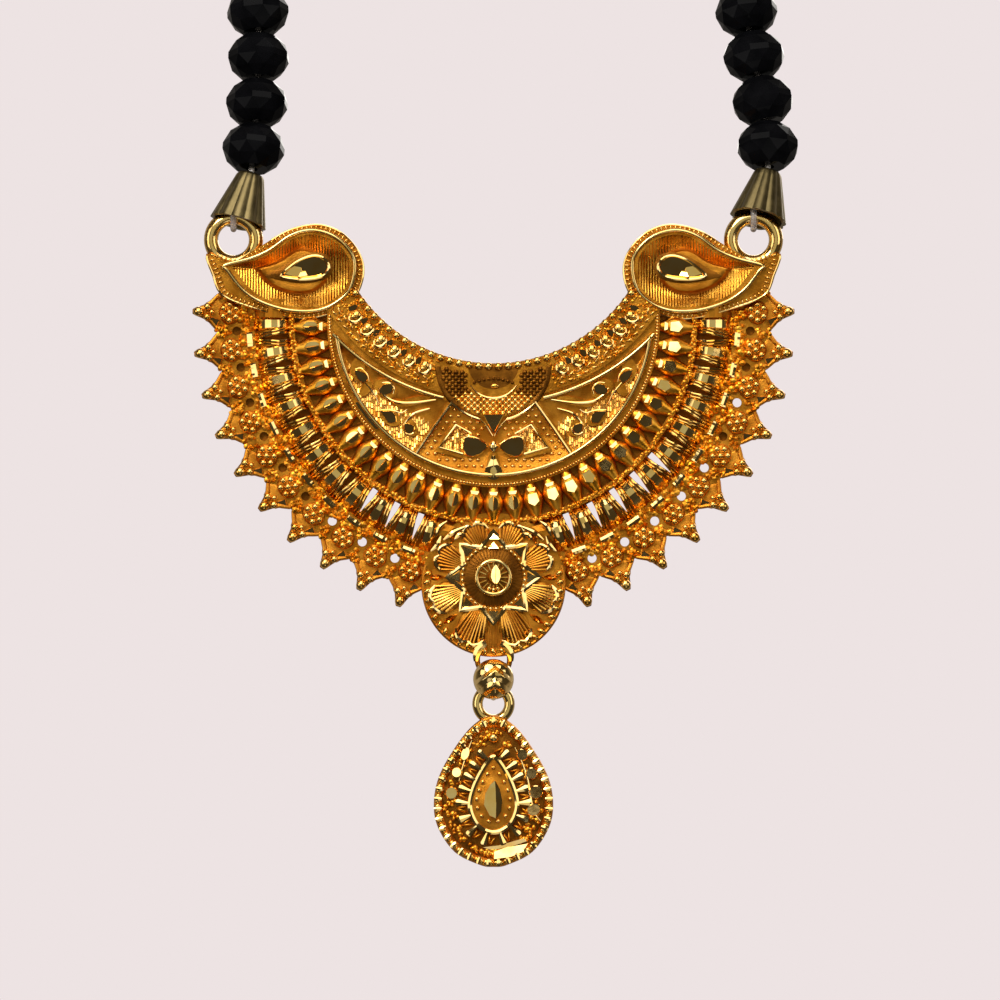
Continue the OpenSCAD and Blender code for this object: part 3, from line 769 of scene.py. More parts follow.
def scallop_walls():
    """The raised wall down both flanks of a scallop."""
    path = smooth_curve([[FAN_R - 0.05, 1.38, 0.8], [FAN_R + 0.28, 1.02, 0.88], [FAN_R + 0.55, 0.72, 0.94],
                         [FAN_R + 0.85, 0.55, 0.94]], 5)
    wall = tube(path, np.linspace(0.15, 0.2, len(path)))
    return join([wall, mirrored(wall, (1, -1, 1))])


def scallop_pockets():
    """A dark polished pocket at the lower side of every scallop's foot."""
    parts = []
    for angle in scallop_angles():
        side = -1 if angle > 0 else 1
        shape = np.array([[-0.32, 0.62], [0.3, 0.42], [0.52, 0.5], [0.3, 0.86], [-0.05, 1.12]]) * [1, side]
        plate = cut_over(shape, 0.3, 0.88, 0.05, facing(angle, 0.3))
        parts.append(copies(plate, [around(angle, FAN_R + 0.1)]))
    return parts


def flower():
    """The round pad behind a scallop and its seven grains, along the radius."""
    pad = copies(BALLS[3], [[[0, 0, NET_Z - 0.02], [0.88, 0, 0], [0, 0.98, 0], [0, 0, 0.34]]])
    spots = [[-0.52, -0.32], [-0.52, 0.32], [0, -0.63], [0, 0], [0, 0.63], [0.5, -0.33], [0.5, 0.33]]
    return pad, balls([[x, y, NET_Z + 0.42 - 0.15 * (x * x + y * y)] for x, y in spots], 0.28, 3)


def scallop_grains():
    """Four grains on a scallop: one behind, one on each side and the biggest at the tip."""
    spots = [[FAN_R + 0.44, 0, 1.12], [FAN_R + 0.8, -0.41, 1.14], [FAN_R + 0.8, 0.41, 1.14],
             [FAN_R + 1.5, 0, 1.08]]
    return balls(spots, [[0.22, 0.22, 0.22], [0.31, 0.31, 0.31], [0.31, 0.31, 0.31], [0.44, 0.4, 0.4]], 3)


def hole_crumbs():
    """Clumps of rough metal between the flowers, just outside the holes."""
    angles = [hole_angle(side, i) for side in (-1, 1) for i in range(SCALLOPS)]
    radii = (NET_R + 2 * HOLE_R + 0.2, FAN_R + 0.15)
    return clumps(angles, 1.2, radii, (0.0, 0.2), 14, (0.15, 0.3), 1)


def ridge():
    """The rough ridge between the bicones and the ribs."""
    places = []
    for angle in np.arange(-BAND_END, BAND_END, 0.55):
        r = RNG.uniform(BICONE_END_R + 0.02, RIB_START_R + 0.02)
        size = RNG.uniform(0.12, 0.24, 3)
        places.append(around(angle + RNG.uniform(-0.3, 0.3), r, 1.62 + RNG.uniform(-0.05, 0.1), size))
    return copies(BALLS[2], places)


def bicone_angles():
    """Angles on the fan of the bicone beads, from left to right."""
    return [(i - (BICONES - 1) / 2) * BICONE_PITCH for i in range(BICONES)]


def bicone():
    """A satin barrel along the radius, waisted to its ends."""
    table = smooth_curve([[WIRE_R - 0.1, 0.36], [WIRE_R + 0.45, 0.56], [WIRE_R + 0.9, 0.75],
                          [WIRE_R + 1.3, 0.81], [WIRE_R + 1.75, 0.74], [WIRE_R + 2.2, 0.56],
                          [BICONE_END_R + 0.08, 0.38]], 4)
    return loft([[[r, size * math.cos(t), BICONE_Z + size * math.sin(t)] for t in turns(20)]
                 for r, size in table])


def bicone_cuts():
    """A polished cut on every bicone's belly, and a short one nearer the panel.

    On the left and below, the cut is a leaf with a second one beside it; on the right a pentagon."""
    leaf = smooth_curve([[0.66, -0.02], [0.3, -0.36], [-0.3, -0.36], [-0.66, -0.02]], 4)
    flank = smooth_curve([[-0.6, 0.02], [-0.3, 0.34], [0.3, 0.34], [0.6, 0.02]], 4)
    pentagon = [[-0.5, -0.36], [0.22, -0.46], [0.56, 0.0], [0.22, 0.46], [-0.5, 0.36]]
    strip = [[-0.14, -0.36], [0.14, -0.26], [0.16, 0.26], [-0.12, 0.38]]
    parts = []
    for angle in bicone_angles():
        belly = around(angle, WIRE_R + 1.32, 2.19)
        foot = around(angle, WIRE_R + 0.5, 1.98)
        if angle < 10:
            shape, to_right, up = leaf, RNG.uniform(-0.1, 0.2), RNG.uniform(-0.26, 0.1)
            parts.append(copies(cut_over(flank, -0.5, -0.03, 0.03, leaning(angle, -0.3, 0.1)), [belly]))
        else:
            shape, to_right, up = pentagon, RNG.uniform(-0.3, 0.08), RNG.uniform(-0.4, -0.1)
        parts.append(copies(cut_over(shape, -0.5, 0.0, 0.04, leaning(angle, to_right, up)), [belly]))
        parts.append(copies(cut_over(strip, -0.5, 0.0, 0.03, facing(angle, -0.45)), [foot]))
    return parts


def bicone_seat():
    """The floor between the bicones, dark brown as painted shade."""
    low, high = (arc(r, -BAND_END, BAND_END, 96) for r in (WIRE_R, BICONE_END_R))
    top = SEAT_Z + 0.03
    rings = [lifted(low, SEAT_LOW_Z), lifted(high, SEAT_LOW_Z), lifted(high, top), lifted(low, top)]
    return loft(np.array(rings).transpose(1, 0, 2))


def wire_beads():
    """The fine beaded wire round the panel."""
    places = [around(angle, PANEL_R + 0.2, PANEL_Z + RELIEF / 2, (0.17, 0.13, 0.17))
              for angle in np.arange(-BAND_END, BAND_END + 0.1, 1.1)]
    return copies(BALLS[2], places)


# The crescent panel

def panel_edges(u):
    """Heights of the panel's lower and upper arcs at a distance from the middle."""
    return [v - np.sqrt(r ** 2 - u ** 2) for r, v in ((ARC_LOW_R, ARC_LOW_V), (ARC_HIGH_R, ARC_HIGH_V))]


def panel_dish(share):
    """Rise of the panel's floor at a share of the way up."""
    return 0.3 * (2 * share - 1) ** 2


def panel_sheet():
    """The panel's floor: dished between its rims, with upright hatching in its lower part."""
    half_w, wing_start, line_pitch = 12.6, 6.3, 0.37
    u = np.linspace(-half_w, half_w, 361)
    t = np.linspace(0.0, 1.0, 91)
    low, high = panel_edges(u)
    v = low[:, None] + (high - low)[:, None] * t
    across = np.broadcast_to(u[:, None], v.shape)
    wing = np.clip((np.abs(u) - wing_start) / 0.3, 0, 1)
    lower = np.clip((WING_TOP - t) / 0.06, 0, 1)
    mask = np.maximum(wing[:, None] * lower[None], in_patch(np.abs(across), v))
    lines = 0.05 * np.abs(np.sin(math.pi * u / line_pitch))[:, None] * mask
    top = np.stack([across, v, PANEL_Z + 0.05 + panel_dish(t)[None] + lines], axis=2)
    bottom = top.copy()
    bottom[:, :, 2] = PANEL_Z - 0.1
    return loft(np.concatenate([top, bottom[:, -1:], bottom[:, :1]], axis=1))


def in_patch(u, v):
    """1 inside the small hatched frame beside the bow, else 0."""
    inside = np.ones(u.shape)
    middle = FRAME_CORNERS.mean(0)
    for a, b in zip(FRAME_CORNERS, np.roll(FRAME_CORNERS, -1, 0)):
        edge = b - a
        side = edge[0] * (v - a[1]) - edge[1] * (u - a[0])
        here = edge[0] * (middle[1] - a[1]) - edge[1] * (middle[0] - a[0])
        inside = inside * (side * here > 0)
    return inside


def hatch_dashes():
    """Short bright upright strokes over the lower parts of the wings and in the frames, facing up."""
    parts = []
    half_u, half_v = 0.07, 0.2
    outline = [[-half_u, -half_v], [half_u, -half_v], [half_u, half_v], [-half_u, half_v]]
    for u in np.arange(1.8, 11.6, 0.18):
        low, high = panel_edges(u)
        v = low + 0.3 + RNG.uniform(0, 0.3)
        while v < high:
            t = (v - low) / (high - low)
            past_divider = u > 3.7 + (-6.5 - v) * 0.694
            on_wing = past_divider and t < WING_TOP
            if (on_wing or in_patch(np.array(u), np.array(v)) > 0) and RNG.uniform() < 0.92:
                slope = (RNG.uniform(-0.3, 0.2), RNG.uniform(-0.5, -0.05))
                plate = cut_over(outline, -0.2, 0.0, 0.02, slope)
                parts.append(both(moved(plate, u, v, PANEL_Z + 0.1 + panel_dish(t))))
            v += RNG.uniform(0.36, 0.5)
    return join(parts)


def panel_rims():
    """The bright rims round the panel, its dividers and the frames beside the bow."""
    rim_w = PANEL_TOP + 0.1
    outer = tube(lifted(arc(ARC_LOW_R - 0.18, -83.0, 83.0, 121, ARC_LOW_V), rim_w), 0.17, 10)
    top = tube(lifted(arc(ARC_HIGH_R + 0.16, 13.2, 46.9, 60, ARC_HIGH_V), rim_w), 0.17, 10)
    divider = tube(lifted([[3.3, -6.5], [4.8, -8.6], [6.25, -10.75]], rim_w - 0.04), 0.15)
    frame_bar = tube(lifted(FRAME_CORNERS[[3, 0, 1, 2]], rim_w - 0.06), 0.11)
    ledge = tube(lifted(arc(4.5, 14, 47, 24, HALF_V), rim_w - 0.04), 0.13)
    spike = tube(lifted([[1.2, -7.75], [0.7, -8.2], [0.08, -9.2]], rim_w), 0.08)
    return [outer] + [both(p) for p in (top, divider, frame_bar, ledge, spike)]


def panel_lines():
    """The bright curled lines of the wings and the veins of the bow."""
    parts = []
    for size, points in PANEL_LINES:
        path = smooth_curve(points, 6)
        taper = swell(0.45 * size, 0.55 * size, len(path), 0.15, math.pi - 0.15)
        parts.append(both(tube(lifted(path, PANEL_TOP), taper)))
    return parts


def oval(u, v, half_u, half_v, angle, point=0.0):
    """An ellipse, or with point a leaf that narrows at its far end."""
    a = turns(20)
    x, y = half_u * np.cos(a), half_v * np.sin(a) * (1 - point * np.cos(a))
    c, s = cos_sin(angle)
    return np.column_stack([u + x * c - y * s, v + x * s + y * c])


def panel_cuts():
    """The dark polished cuts of the wings and the bow, which lean down and away from the light."""
    floor_w = PANEL_TOP + 0.02
    low = PANEL_Z - 0.1
    leaf = oval(10.6, -4.4, 0.68, 0.36, 42, point=0.4)
    petal = oval(8.6, -5.5, 0.62, 0.44, -20, point=0.2)
    blotch = smooth_curve([[9.05, -7.2], [8.0, -7.3], [7.75, -8.05], [8.35, -8.2], [8.75, -7.65]], 4, True)
    drop_cut = oval(6.78, -8.56, 0.5, 0.4, 40, point=0.4)
    wing = smooth_curve([[2.3, -9.4], [1.4, -9.36], [0.55, -9.85], [0.55, -10.2], [1.4, -10.85],
                         [2.3, -10.65]], 4, True)
    spike = [[-0.85, -7.45], [0, -9.1], [0.85, -7.45]]
    strip = np.concatenate([arc(ARC_LOW_R + 0.2, -58, -46, 7, ARC_LOW_V),
                            arc(ARC_LOW_R - 0.02, -46, -58, 7, ARC_LOW_V)])
    parts = [both(cut_over(shape, low, floor_w, 0.08, (0.0, 0.27)))
             for shape in (leaf, petal, blotch, drop_cut)]
    parts.append(both(cut_over(wing, low, floor_w, 0.08, (0.08, 0.26))))
    parts.append(cut_over(spike, low, floor_w, 0.1, (0.0, 0.3)))
    parts.append(cut_over(strip, low, floor_w - 0.2, 0.03, (0.0, 0.3)))
    return parts


def bow_drop():
    """The bright teardrop and the knot of the bow, cut in two slopes about a ridge."""
    outline = smooth_curve([[0, -10.5], [0.3, -11.1], [0.7, -12.0], [0.42, -12.55], [0, -12.72],
                            [-0.42, -12.55], [-0.7, -12.0], [-0.3, -11.1]], 3, True)
    ridge_line = outline * [0.06, 0.8] + [0, -2.35]
    rings = [lifted(outline, PANEL_Z - 0.1), lifted(outline, 2.25), lifted(ridge_line, 2.44)]
    knot = balls([[0, -10.05, 2.3]], [[0.34, 0.5, 0.3]], 3)
    return [loft(rings), knot]


def ground_dots():
    """Small dots on the ground of the middle panel."""
    centres = []
    for row in range(12):
        for step in range(-9, 10):
            u = 0.62 * (step + 0.5 * (row % 2))
            v = -7.1 - 0.5 * row
            past_divider = abs(u) > 3.1 + (-6.2 - v) * 0.7
            under_rim = math.hypot(u, v - ARC_LOW_V) > ARC_LOW_R - 0.5
            on_half = math.hypot(u, v - HALF_V) < 4.75
            on_frame = in_patch(np.array(abs(u) * 0.93 + 0.2), np.array(v)) > 0
            on_bow = abs(u) < 2.5 and -11.0 < v < -9.2 or abs(u) < 0.85
            if not (past_divider or under_rim or on_half or on_frame or on_bow):
                share = math.hypot(u, v - ARC_LOW_V) / ARC_LOW_R
                centres.append([u, v, PANEL_Z + 0.14 + 0.1 * share])
    return balls(centres, [[0.19, 0.14, 0.15]])


def half_medallion():
    """Scale-like grains round a small dotted dish, at the middle of the inner edge."""
    painted_shade_spots, shine = [], []
    for row in range(32):
        for step in range(-18, 19):
            u, v = 0.5 * (step + 0.5 * (row % 2)), -3.6 - 0.25 * row
            far = math.hypot(u, v - HALF_V)
            near = math.hypot(u, v - DISH_V)
            edge = math.hypot(u, v - INNER_V)
            if far < 4.2 and near > 2.25 and edge > INNER_R + 0.85:
                # The upper grains go dark as painted shade; the lower ones stay polished gold.
                (shine if v < -5.2 - 0.25 * abs(u) else painted_shade_spots).append([u, v, PANEL_Z + 0.58])
    dots = [[0.38 * k, -4.62 - 0.02 * k * k, PANEL_Z + 0.62] for k in range(-4, 5)]
    leaf = balls([[0.1, -5.2, PANEL_Z + 0.6]], [[0.34, 0.2, 0.16]], 3)
    return [balls(painted_shade_spots, [[0.2, 0.2, 0.14]]), balls(dots, 0.14)], [balls(shine, [[0.2, 0.2, 0.18]]), leaf]


def half_medallion_shade():
    """The dish in the middle and the band round its upper part, dark brown as painted shade."""
    dish = arc(2.05, -100, 100, 28, DISH_V)
    band = tube(lifted(arc(4.4, 42, 88, 20, HALF_V), PANEL_TOP + 0.02), 0.26, 10, flat=0.6)
    return [cut_face(dish, PANEL_Z, PANEL_TOP + 0.07, 0.06), both(band)]


def half_medallion_rims():
    """The bright line round the lower half of the dish."""
    return [tube(lifted(arc(2.12, -60, 60, 40, DISH_V), PANEL_Z + 0.6), swell(0.03, 0.09, 40))]


# The inner edge

def edge_beads():
    """The beads along the inner edge, and the two rope lines at the band's outer side."""
    beads = [around(a, INNER_R + 0.26, PANEL_TOP + 0.08, (0.32, 0.33, 0.3), INNER_V)
             for a in np.arange(-56.1, 56.2, 3.4)]
    ropes = [grains_along(arc(INNER_R + out, 19.5, 56, 80, INNER_V), PANEL_TOP + up, pitch, size,
                          level=3, slant=slant)
             for out, up, pitch, size, slant in ((2.15, 0.08, 0.8, (0.34, 0.11, 0.14), 20),
                                                 (2.55, 0.06, 0.7, (0.26, 0.1, 0.12), -15))]
    return [copies(BALLS[3], beads)] + [both(rope) for rope in ropes]


def edge_studs():
    """Six studs a side like buds, each with a bright curl round its foot and a dark hollow beside it."""
    path = [[0.52 * math.cos(a), 0.44 * math.sin(a), 0.22] for a in np.linspace(-2.4, 1.2, 18)]
    curl = tube(path, swell(0.07, 0.11, 18, 0.1))
    bud = balls([[-0.05, 0, 0.14], [0.18, 0.1, 0.36]], [[0.52, 0.42, 0.34], [0.24, 0.22, 0.22]], 3)
    hollow = cut_face(oval(-0.25, 0.66, 0.42, 0.24, 20), -0.3, 0.16, 0.05, (-0.3, 0.05))
    places = [around(22.5 + 5.5 * i, INNER_R + 1.38, PANEL_TOP, middle_v=INNER_V) for i in range(6)]
    return [both(copies(part, places)) for part in (bud, curl, hollow)]


def edge_crumbs():
    """Rough crumbs between the studs, on both sides of the half-medallion."""
    count, end, start = 620, 57, 18.5
    places = []
    while len(places) < count:
        angle = RNG.uniform(-end, end)
        r = INNER_R + RNG.uniform(0.5, 2.75)
        size = RNG.uniform(0.08, 0.18, 3)
        if abs(angle) > start:
            places.append(around(angle, r, PANEL_TOP + 0.03, size, INNER_V))
    return copies(BALLS[1], places)


# The paisleys

def paisley_outline(table, steps):
    """A smooth outline through a table of shares of the head's radius."""
    return PAISLEY_R * smooth_curve(table, steps, True)


def paisley_spot(part):
    """The part moved from round the head's centre to the right paisley."""
    return moved(part, PAISLEY_OUT, PAISLEY_UP)


def paisley_shell(profile):
    """Rings of the rim's outline, each shrunk to a share and raised."""
    return paisley_spot(shell(paisley_outline(PAISLEY_RIM, 10), PAISLEY_R * PAISLEY_MID, profile))


def paisley_dish():
    """The dish inside the rim, falling to the foot of the boss."""
    return paisley_shell([[0.03, 1.3], [0.3, 1.3], [0.5, 1.32], [0.6, 1.38], [0.7, 1.5], [0.8, 1.67],
                          [0.9, 1.88], [1.0, 2.1], [1.0, 1.1]])


def paisley_boss():
    """The smooth boss in the dish."""
    boss = paisley_shell([[0.59, 1.1], [0.57, 1.4], [0.545, 1.75], [0.52, 2.0], [0.49, 2.12], [0.44, 2.14],
                          [0.36, 2.12], [0.2, 2.1], [0.02, 2.1]])
    return moved(boss, 0.12 * PAISLEY_R)


def paisley_cut():
    """The polished tear on the boss: a black table, a pale cut towards its tail, and a bright rim."""
    outline = PAISLEY_R * np.array([[0.66, -0.1], [0.5, 0.06], [0.3, 0.2], [0.05, 0.29], [-0.15, 0.26],
                                    [-0.27, 0.12], [-0.25, -0.02], [-0.1, -0.13], [0.2, -0.17],
                                    [0.45, -0.16]])
    middle = np.array([0.12, 0.05]) * PAISLEY_R
    table = smooth_curve(outline, 3, True)
    tail = middle + (outline[[0, 1, 2, 8, 9]] - middle) * [0.86, 0.8] + [0.12, 0.0]
    spark = PAISLEY_R * np.array([[0.14, -0.1], [0.34, -0.13], [0.3, -0.04], [0.18, -0.02]])
    cuts = [cut_over(table, 1.8, 2.16, 0.1, (0.04, 0.28)), cut_over(tail, 2.2, 2.5, 0.03, (0.1, -0.05)),
            cut_over(spark, 2.2, 2.52, 0.03, (0.2, -0.27))]
    rim = ridged(smooth_curve(middle + 1.06 * (outline - middle), 3, True), 0.1, 1.9, 2.62, closed=True)
    return [paisley_spot(part) for part in cuts], paisley_spot(rim)


def paisley_shade():
    """The wall round the tear, with its tail, dark brown as painted shade."""
    outline = PAISLEY_R * np.array([[1.02, -0.12], [0.72, 0.06], [0.42, 0.25], [0.08, 0.37], [-0.22, 0.35],
                                    [-0.38, 0.15], [-0.36, -0.05], [-0.16, -0.2], [0.2, -0.26],
                                    [0.6, -0.22]])
    middle = np.array([0.12, 0.03]) * PAISLEY_R
    profile = [[0.02, 2.2], [0.7, 2.22], [1.0, 2.13], [1.0, 1.8]]
    return paisley_spot(shell(smooth_curve(outline, 4, True), middle, profile))


def paisley_rim():
    """The bright wire round the dish, and the row of ticks between it and the thin outer wire."""
    steps = 6
    wire = tube(lifted(paisley_outline(PAISLEY_RIM, steps), 2.16), 0.16, 10, closed=True)
    middle = PAISLEY_R * np.array([0.3, -0.05])
    outline = paisley_outline(PAISLEY, steps) - middle
    from_head, to_tail = 2, 13 * steps
    edge = tube(lifted(middle + 0.985 * outline[from_head:to_tail], 1.66), 0.09)
    ticks = grains_along(middle + 0.93 * outline, 1.68, 0.38, (0.1, 0.24, 0.15), closed=True)
    return paisley_spot(join([wire, edge])), paisley_spot(ticks)


def loops():
    """The polished rings that carry the strings."""
    return both(wire_ring(LOOP_OUT, LOOP_UP, LOOP_R, LOOP_WIRE_R))


# The medallion

def star_points(radius, inner):
    """Outline of the star, its first point straight up."""
    a = turns(2 * STAR_POINTS)
    r = np.tile([radius, inner], STAR_POINTS)
    return np.column_stack([r * np.sin(a), STAR_V + r * np.cos(a)])


def from_star(angle, radius, w, size=(1, 1, 1)):
    """A place round the star, at an angle from straight up."""
    return around(180 - angle, radius, w, size, STAR_V)


def medallion_sheet():
    """The floor of the medallion, with a smooth rim round its lower part."""
    profile = [[0.02, 1.58], [0.9, 1.56], [0.98, 1.52], [1.0, 1.4], [1.0, 0.3]]
    low = arc(MEDALLION_R - 0.13, -106, 106, 90, MEDALLION_V)
    return [shell(circle(MEDALLION_R, MEDALLION_V), np.array([0, MEDALLION_V]), profile),
            tube(lifted(low, 1.6), 0.15)]


def petal_room(angle):
    """Distance from the star's middle to the medallion's rim, at an angle from straight up."""
    off = STAR_V - MEDALLION_V
    c, s = cos_sin(angle)
    return math.sqrt((0.93 * MEDALLION_R) ** 2 - (off * s) ** 2) - off * c


def petals():
    """Eight ribbed leaves between the star's points, each with a curled bright lip."""
    leaves, lit_ribs, dull_ribs, lips = [], [], [], []
    foot, rib_foot = 2.4, 2.55
    share = np.linspace(0, 1, 9)
    for k in range(STAR_POINTS):
        angle = (k + 0.5) * 360 / STAR_POINTS
        place = from_star(angle, 0, 0)
        reach = petal_room(angle) - 0.3
        wide = 0.95 + 0.12 * (reach - 4.2)
        base = [[(foot + reach) / 2 + 0.15, 0, 1.58], [(reach - foot) / 2, 0, 0], [0, 1.12 * wide, 0],
                [0, 0, 0.2]]
        leaves.append(copies(copies(BALLS[3], [base]), [place]))
        for j in range(-4, 5):
            r = rib_foot + (reach - 0.045 * j * j - rib_foot) * share
            side = j * wide * (0.075 + 0.175 * share ** 0.8)
            line = tube(np.column_stack([r, side, swell(1.78, 0.16, 9)]), 0.07 + 0.07 * share)
            # Ribs of the lower petals are painted light, in a brighter gold; the others stay plain satin
            # gold.
            is_low = k in (2, 5) or k in (3, 4) and j * (k - 3.5) > 0
            (lit_ribs if is_low else dull_ribs).append(copies(line, [place]))
        for side in (-1, 1):
            lip = smooth_curve([[reach - 0.7, side * 1.1 * wide, 1.72],
                                [reach - 0.2, side * 0.85 * wide, 1.86],
                                [reach + 0.08, side * 0.4 * wide, 1.95], [reach - 0.1, side * 0.04, 1.9]], 4)
            taper = swell(0.07, 0.12, len(lip), 0.2, math.pi - 0.1)
            lips.append(copies(tube(lip, taper), [place]))
    return leaves, lit_ribs, dull_ribs, lips


def leaf_tips():
    """Bright pointed leaf tips where the medallion meets the fan, and folds beside the low petals."""
    wedge = loft([[[-0.85, 0, 1.6], [-0.8, 0.04, 1.62], [-0.8, -0.04, 1.62]],
                  [[-0.2, 0.05, 1.98], [-0.1, 0.3, 1.66], [-0.1, -0.3, 1.66]],
                  [[0.45, 0.02, 1.94], [0.45, 0.26, 1.66], [0.45, -0.26, 1.66]],
                  [[0.85, 0, 1.62], [0.85, 0.03, 1.6], [0.85, -0.03, 1.6]]])
    places = []
    for angle, radius, spin in LEAF_TIPS:
        c, s = cos_sin(spin)
        for side in (-1, 1):
            spot, out, along, forward = from_star(side * angle, radius, 0)
            along = side * along
            places.append([spot, 0.8 * (c * out + s * along), 0.8 * (c * along - s * out), forward])
    return [copies(wedge, [place]) for place in places]


def upper_tips():
    """Bright leaf tips over the place where the medallion meets the ribs."""
    curves = [smooth_curve(path, 6) for path in UPPER_TIPS]
    return [both(tube(lifted(curve, 2.02), swell(0.05, 0.17, len(curve), 0.1))) for curve in curves]


def foot_lines():
    """Fine upright lines on the plain foot of the medallion."""
    parts = []
    for k in range(-6, 7):
        low = MEDALLION_V - math.sqrt((MEDALLION_R - 0.65) ** 2 - (0.2 * k) ** 2)
        parts.append(tube([[0.2 * k, v, 1.6] for v in np.linspace(STAR_V - 3.9, low, 5)], 0.06, 6))
    return parts


def star_flutes(count, radii, heights, points, size):
    """Thin wires along the radius, all the way round the star's middle."""
    path = np.column_stack([np.linspace(*radii, points), np.zeros(points), np.linspace(*heights, points)])
    wire = tube(path, size, 6)
    return [copies(wire, [around(360 / count * k, 0, middle_v=STAR_V)]) for k in range(count)]


def star_body():
    """The star's plate, its fluted slope and the ribs round the leaf."""
    middle = np.array([0, STAR_V])
    plate = shell(star_points(STAR_R, 0.68 * STAR_R), middle,
                  [[0.02, 1.77], [0.985, 1.77], [1.0, 1.74], [1.0, 1.3]])
    slope = shell(circle(2.4, STAR_V), middle,
                  [[0.02, 2.0], [0.54, 1.98], [0.62, 1.96], [0.96, 1.82], [1.0, 1.74], [1.0, 1.4]])
    flutes = star_flutes(48, (1.5, 2.35), (1.93, 1.79), 5, 0.065)
    return [plate], [slope] + flutes, star_flutes(16, (0.62, 1.2), (2.02, 2.02), 4, 0.09)


def star_lines():
    """The bright outline of the star, the beaded ring and the smooth ring in it."""
    outline = star_points(STAR_R + 0.02, 0.7 * STAR_R)
    edge = np.concatenate([np.linspace(a, b, 5)[:-1] for a, b in zip(outline, np.roll(outline, -1, 0))])
    star = ridged(edge, 0.17, 1.6, 2.05, closed=True)
    ring = tube(lifted(circle(1.34, STAR_V), 2.12), 0.18, 10, closed=True)
    beads = grains_along(circle(2.5, STAR_V), 1.88, 0.44, (0.18, 0.12, 0.15), closed=True, level=3)
    granules = balls([[0.34 * k, STAR_V - 0.98 + 0.1 * k * k, 2.16] for k in (-1, 0, 1)], 0.17, 3)
    return [star, ring, beads, granules]


def star_cuts():
    """Dark triangles in the star's points, bright ones in its top point, and the leaf in two slopes."""
    parts = []
    for angle in (0, 45, 90, 135, 225, 270, 315):
        plate = cut_over([[-0.38, -0.44], [0.56, 0], [-0.38, 0.44]], -0.3, 0.0, 0.04, facing(angle, 0.3))
        parts.append(copies(plate, [around(angle, 3.05, 1.8, middle_v=STAR_V)]))
    shift = np.array([0.15, STAR_V + 0.25])
    left = np.array([[0.03, 0.82], [0.0, -0.78], [-0.2, -0.62], [-0.36, -0.2], [-0.28, 0.35]]) + shift
    right = np.array([[0.05, 0.82], [0.36, 0.3], [0.42, -0.2], [0.26, -0.62], [0.03, -0.78]]) + shift
    parts.append(cut_over(left, 1.7, 2.0, 0.04, (0.06, -0.36)))
    parts.append(cut_over(right, 1.7, 2.0, 0.04, (-0.2, -0.45)))
    for low, high, half in ((3.05, 3.62, 0.5), (2.3, 2.85, 0.45)):
        shape = np.array([[-half, low], [half, low], [0, high]]) + [0, STAR_V]
        parts.append(cut_over(shape, 1.6, 1.86, 0.04, (0.2, -0.27)))
    return parts


def hanger_arms():
    """The two thick arms of the ring under the medallion."""
    a = np.radians(np.linspace(24, 96, 18))
    path = np.column_stack([1.42 * np.sin(a), RING_V + 1.42 * np.cos(a)])
    return both(ridged(path, swell(0.12, 0.17, 18, 0.3, 2.9), 0.75, np.linspace(2.4, 2.0, 18)))


def medallion_beads():
    """The slanting beads between the leaves and the smooth rim."""
    path = arc(MEDALLION_R - 0.42, -104, 104, 120, MEDALLION_V)
    return grains_along(path, 1.74, 0.72, (0.2, 0.34, 0.24), level=3, slant=25)


# The link, the ball and the drop

def link_ring():
    """The link, which stands edge on behind the ball; its two ends are the eyes."""
    turn = turns(12)
    spoke = LINK_R + LINK_WIRE_R * np.cos(turn)
    rings = [np.column_stack([LINK_WIRE_R * np.sin(turn), LINK_V + spoke * math.cos(t),
                              MID_Z + spoke * math.sin(t)]) for t in turns(40)]
    return loft(rings, closed=True)


def cut_ball():
    """The ball with folded diamond cuts that meet in front, and a flat back."""
    pitch, depth, fold_u = 1.05, 0.12, 0.1
    points, faces = BALLS[6]
    chevron = (points[:, 1] + 0.75 * np.abs(points[:, 0] - fold_u)) * BALL_R / pitch + 0.3
    fold = 2 * np.abs(chevron - np.floor(chevron + 0.5))
    in_front = np.clip(points[:, 2] * 2, 0, 1)
    points = points * (1 - depth * fold * in_front)[:, None] * BALL_R * 0.99 + [0, BALL_V, MID_Z + LINK_R]
    points[:, 2] = np.maximum(points[:, 2], BALL_BACK)
    return points, faces


def drop_outline():
    """The drop's outline, of which the table gives the right half."""
    half = np.array([[p[0] * DROP_W / 2, (p[1] - DROP_MID) * DROP_H] for p in DROP])
    left = half[-2:0:-1] * [-1, 1]
    return smooth_curve(np.concatenate([half, left]), 6, True) + DROP_MIDDLE


def drop_body():
    """The teardrop's shell: rolled rim, sunk ground and hollow back."""
    front, back = DROP_FRONT, DROP_BACK
    profile = [[0.02, front - 0.2], [0.84, front - 0.24], [0.88, front], [0.91, front + 0.12],
               [0.95, front + 0.16], [0.98, front + 0.1], [0.995, front - 0.05], [0.995, back + 0.08],
               [0.98, back], [0.82, back], [0.8, back + 0.4], [0.02, back + 0.4]]
    return shell(drop_outline(), DROP_MIDDLE, profile)


def on_drop(profile):
    """A profile whose heights are given over the drop's front."""
    return np.array(profile) + [0, DROP_FRONT]


def drop_ground():
    """The ground inside the rim, dark brown as painted shade."""
    profile = [[0.02, -0.06], [0.6, -0.1], [0.97, -0.14], [1.0, -0.18], [1.0, -0.3]]
    return shell(drop_share(0.87), DROP_MIDDLE, on_drop(profile))


def drop_hill():
    """The raised teardrop in the middle, with steep sides."""
    profile = [[0.02, 0.38], [0.36, 0.34], [0.46, 0.24], [0.9, 0.3], [1.0, 0.24], [1.04, -0.1]]
    return shell(drop_frame(1.06), np.array([0, DROP_V + 5.3]), on_drop(profile))


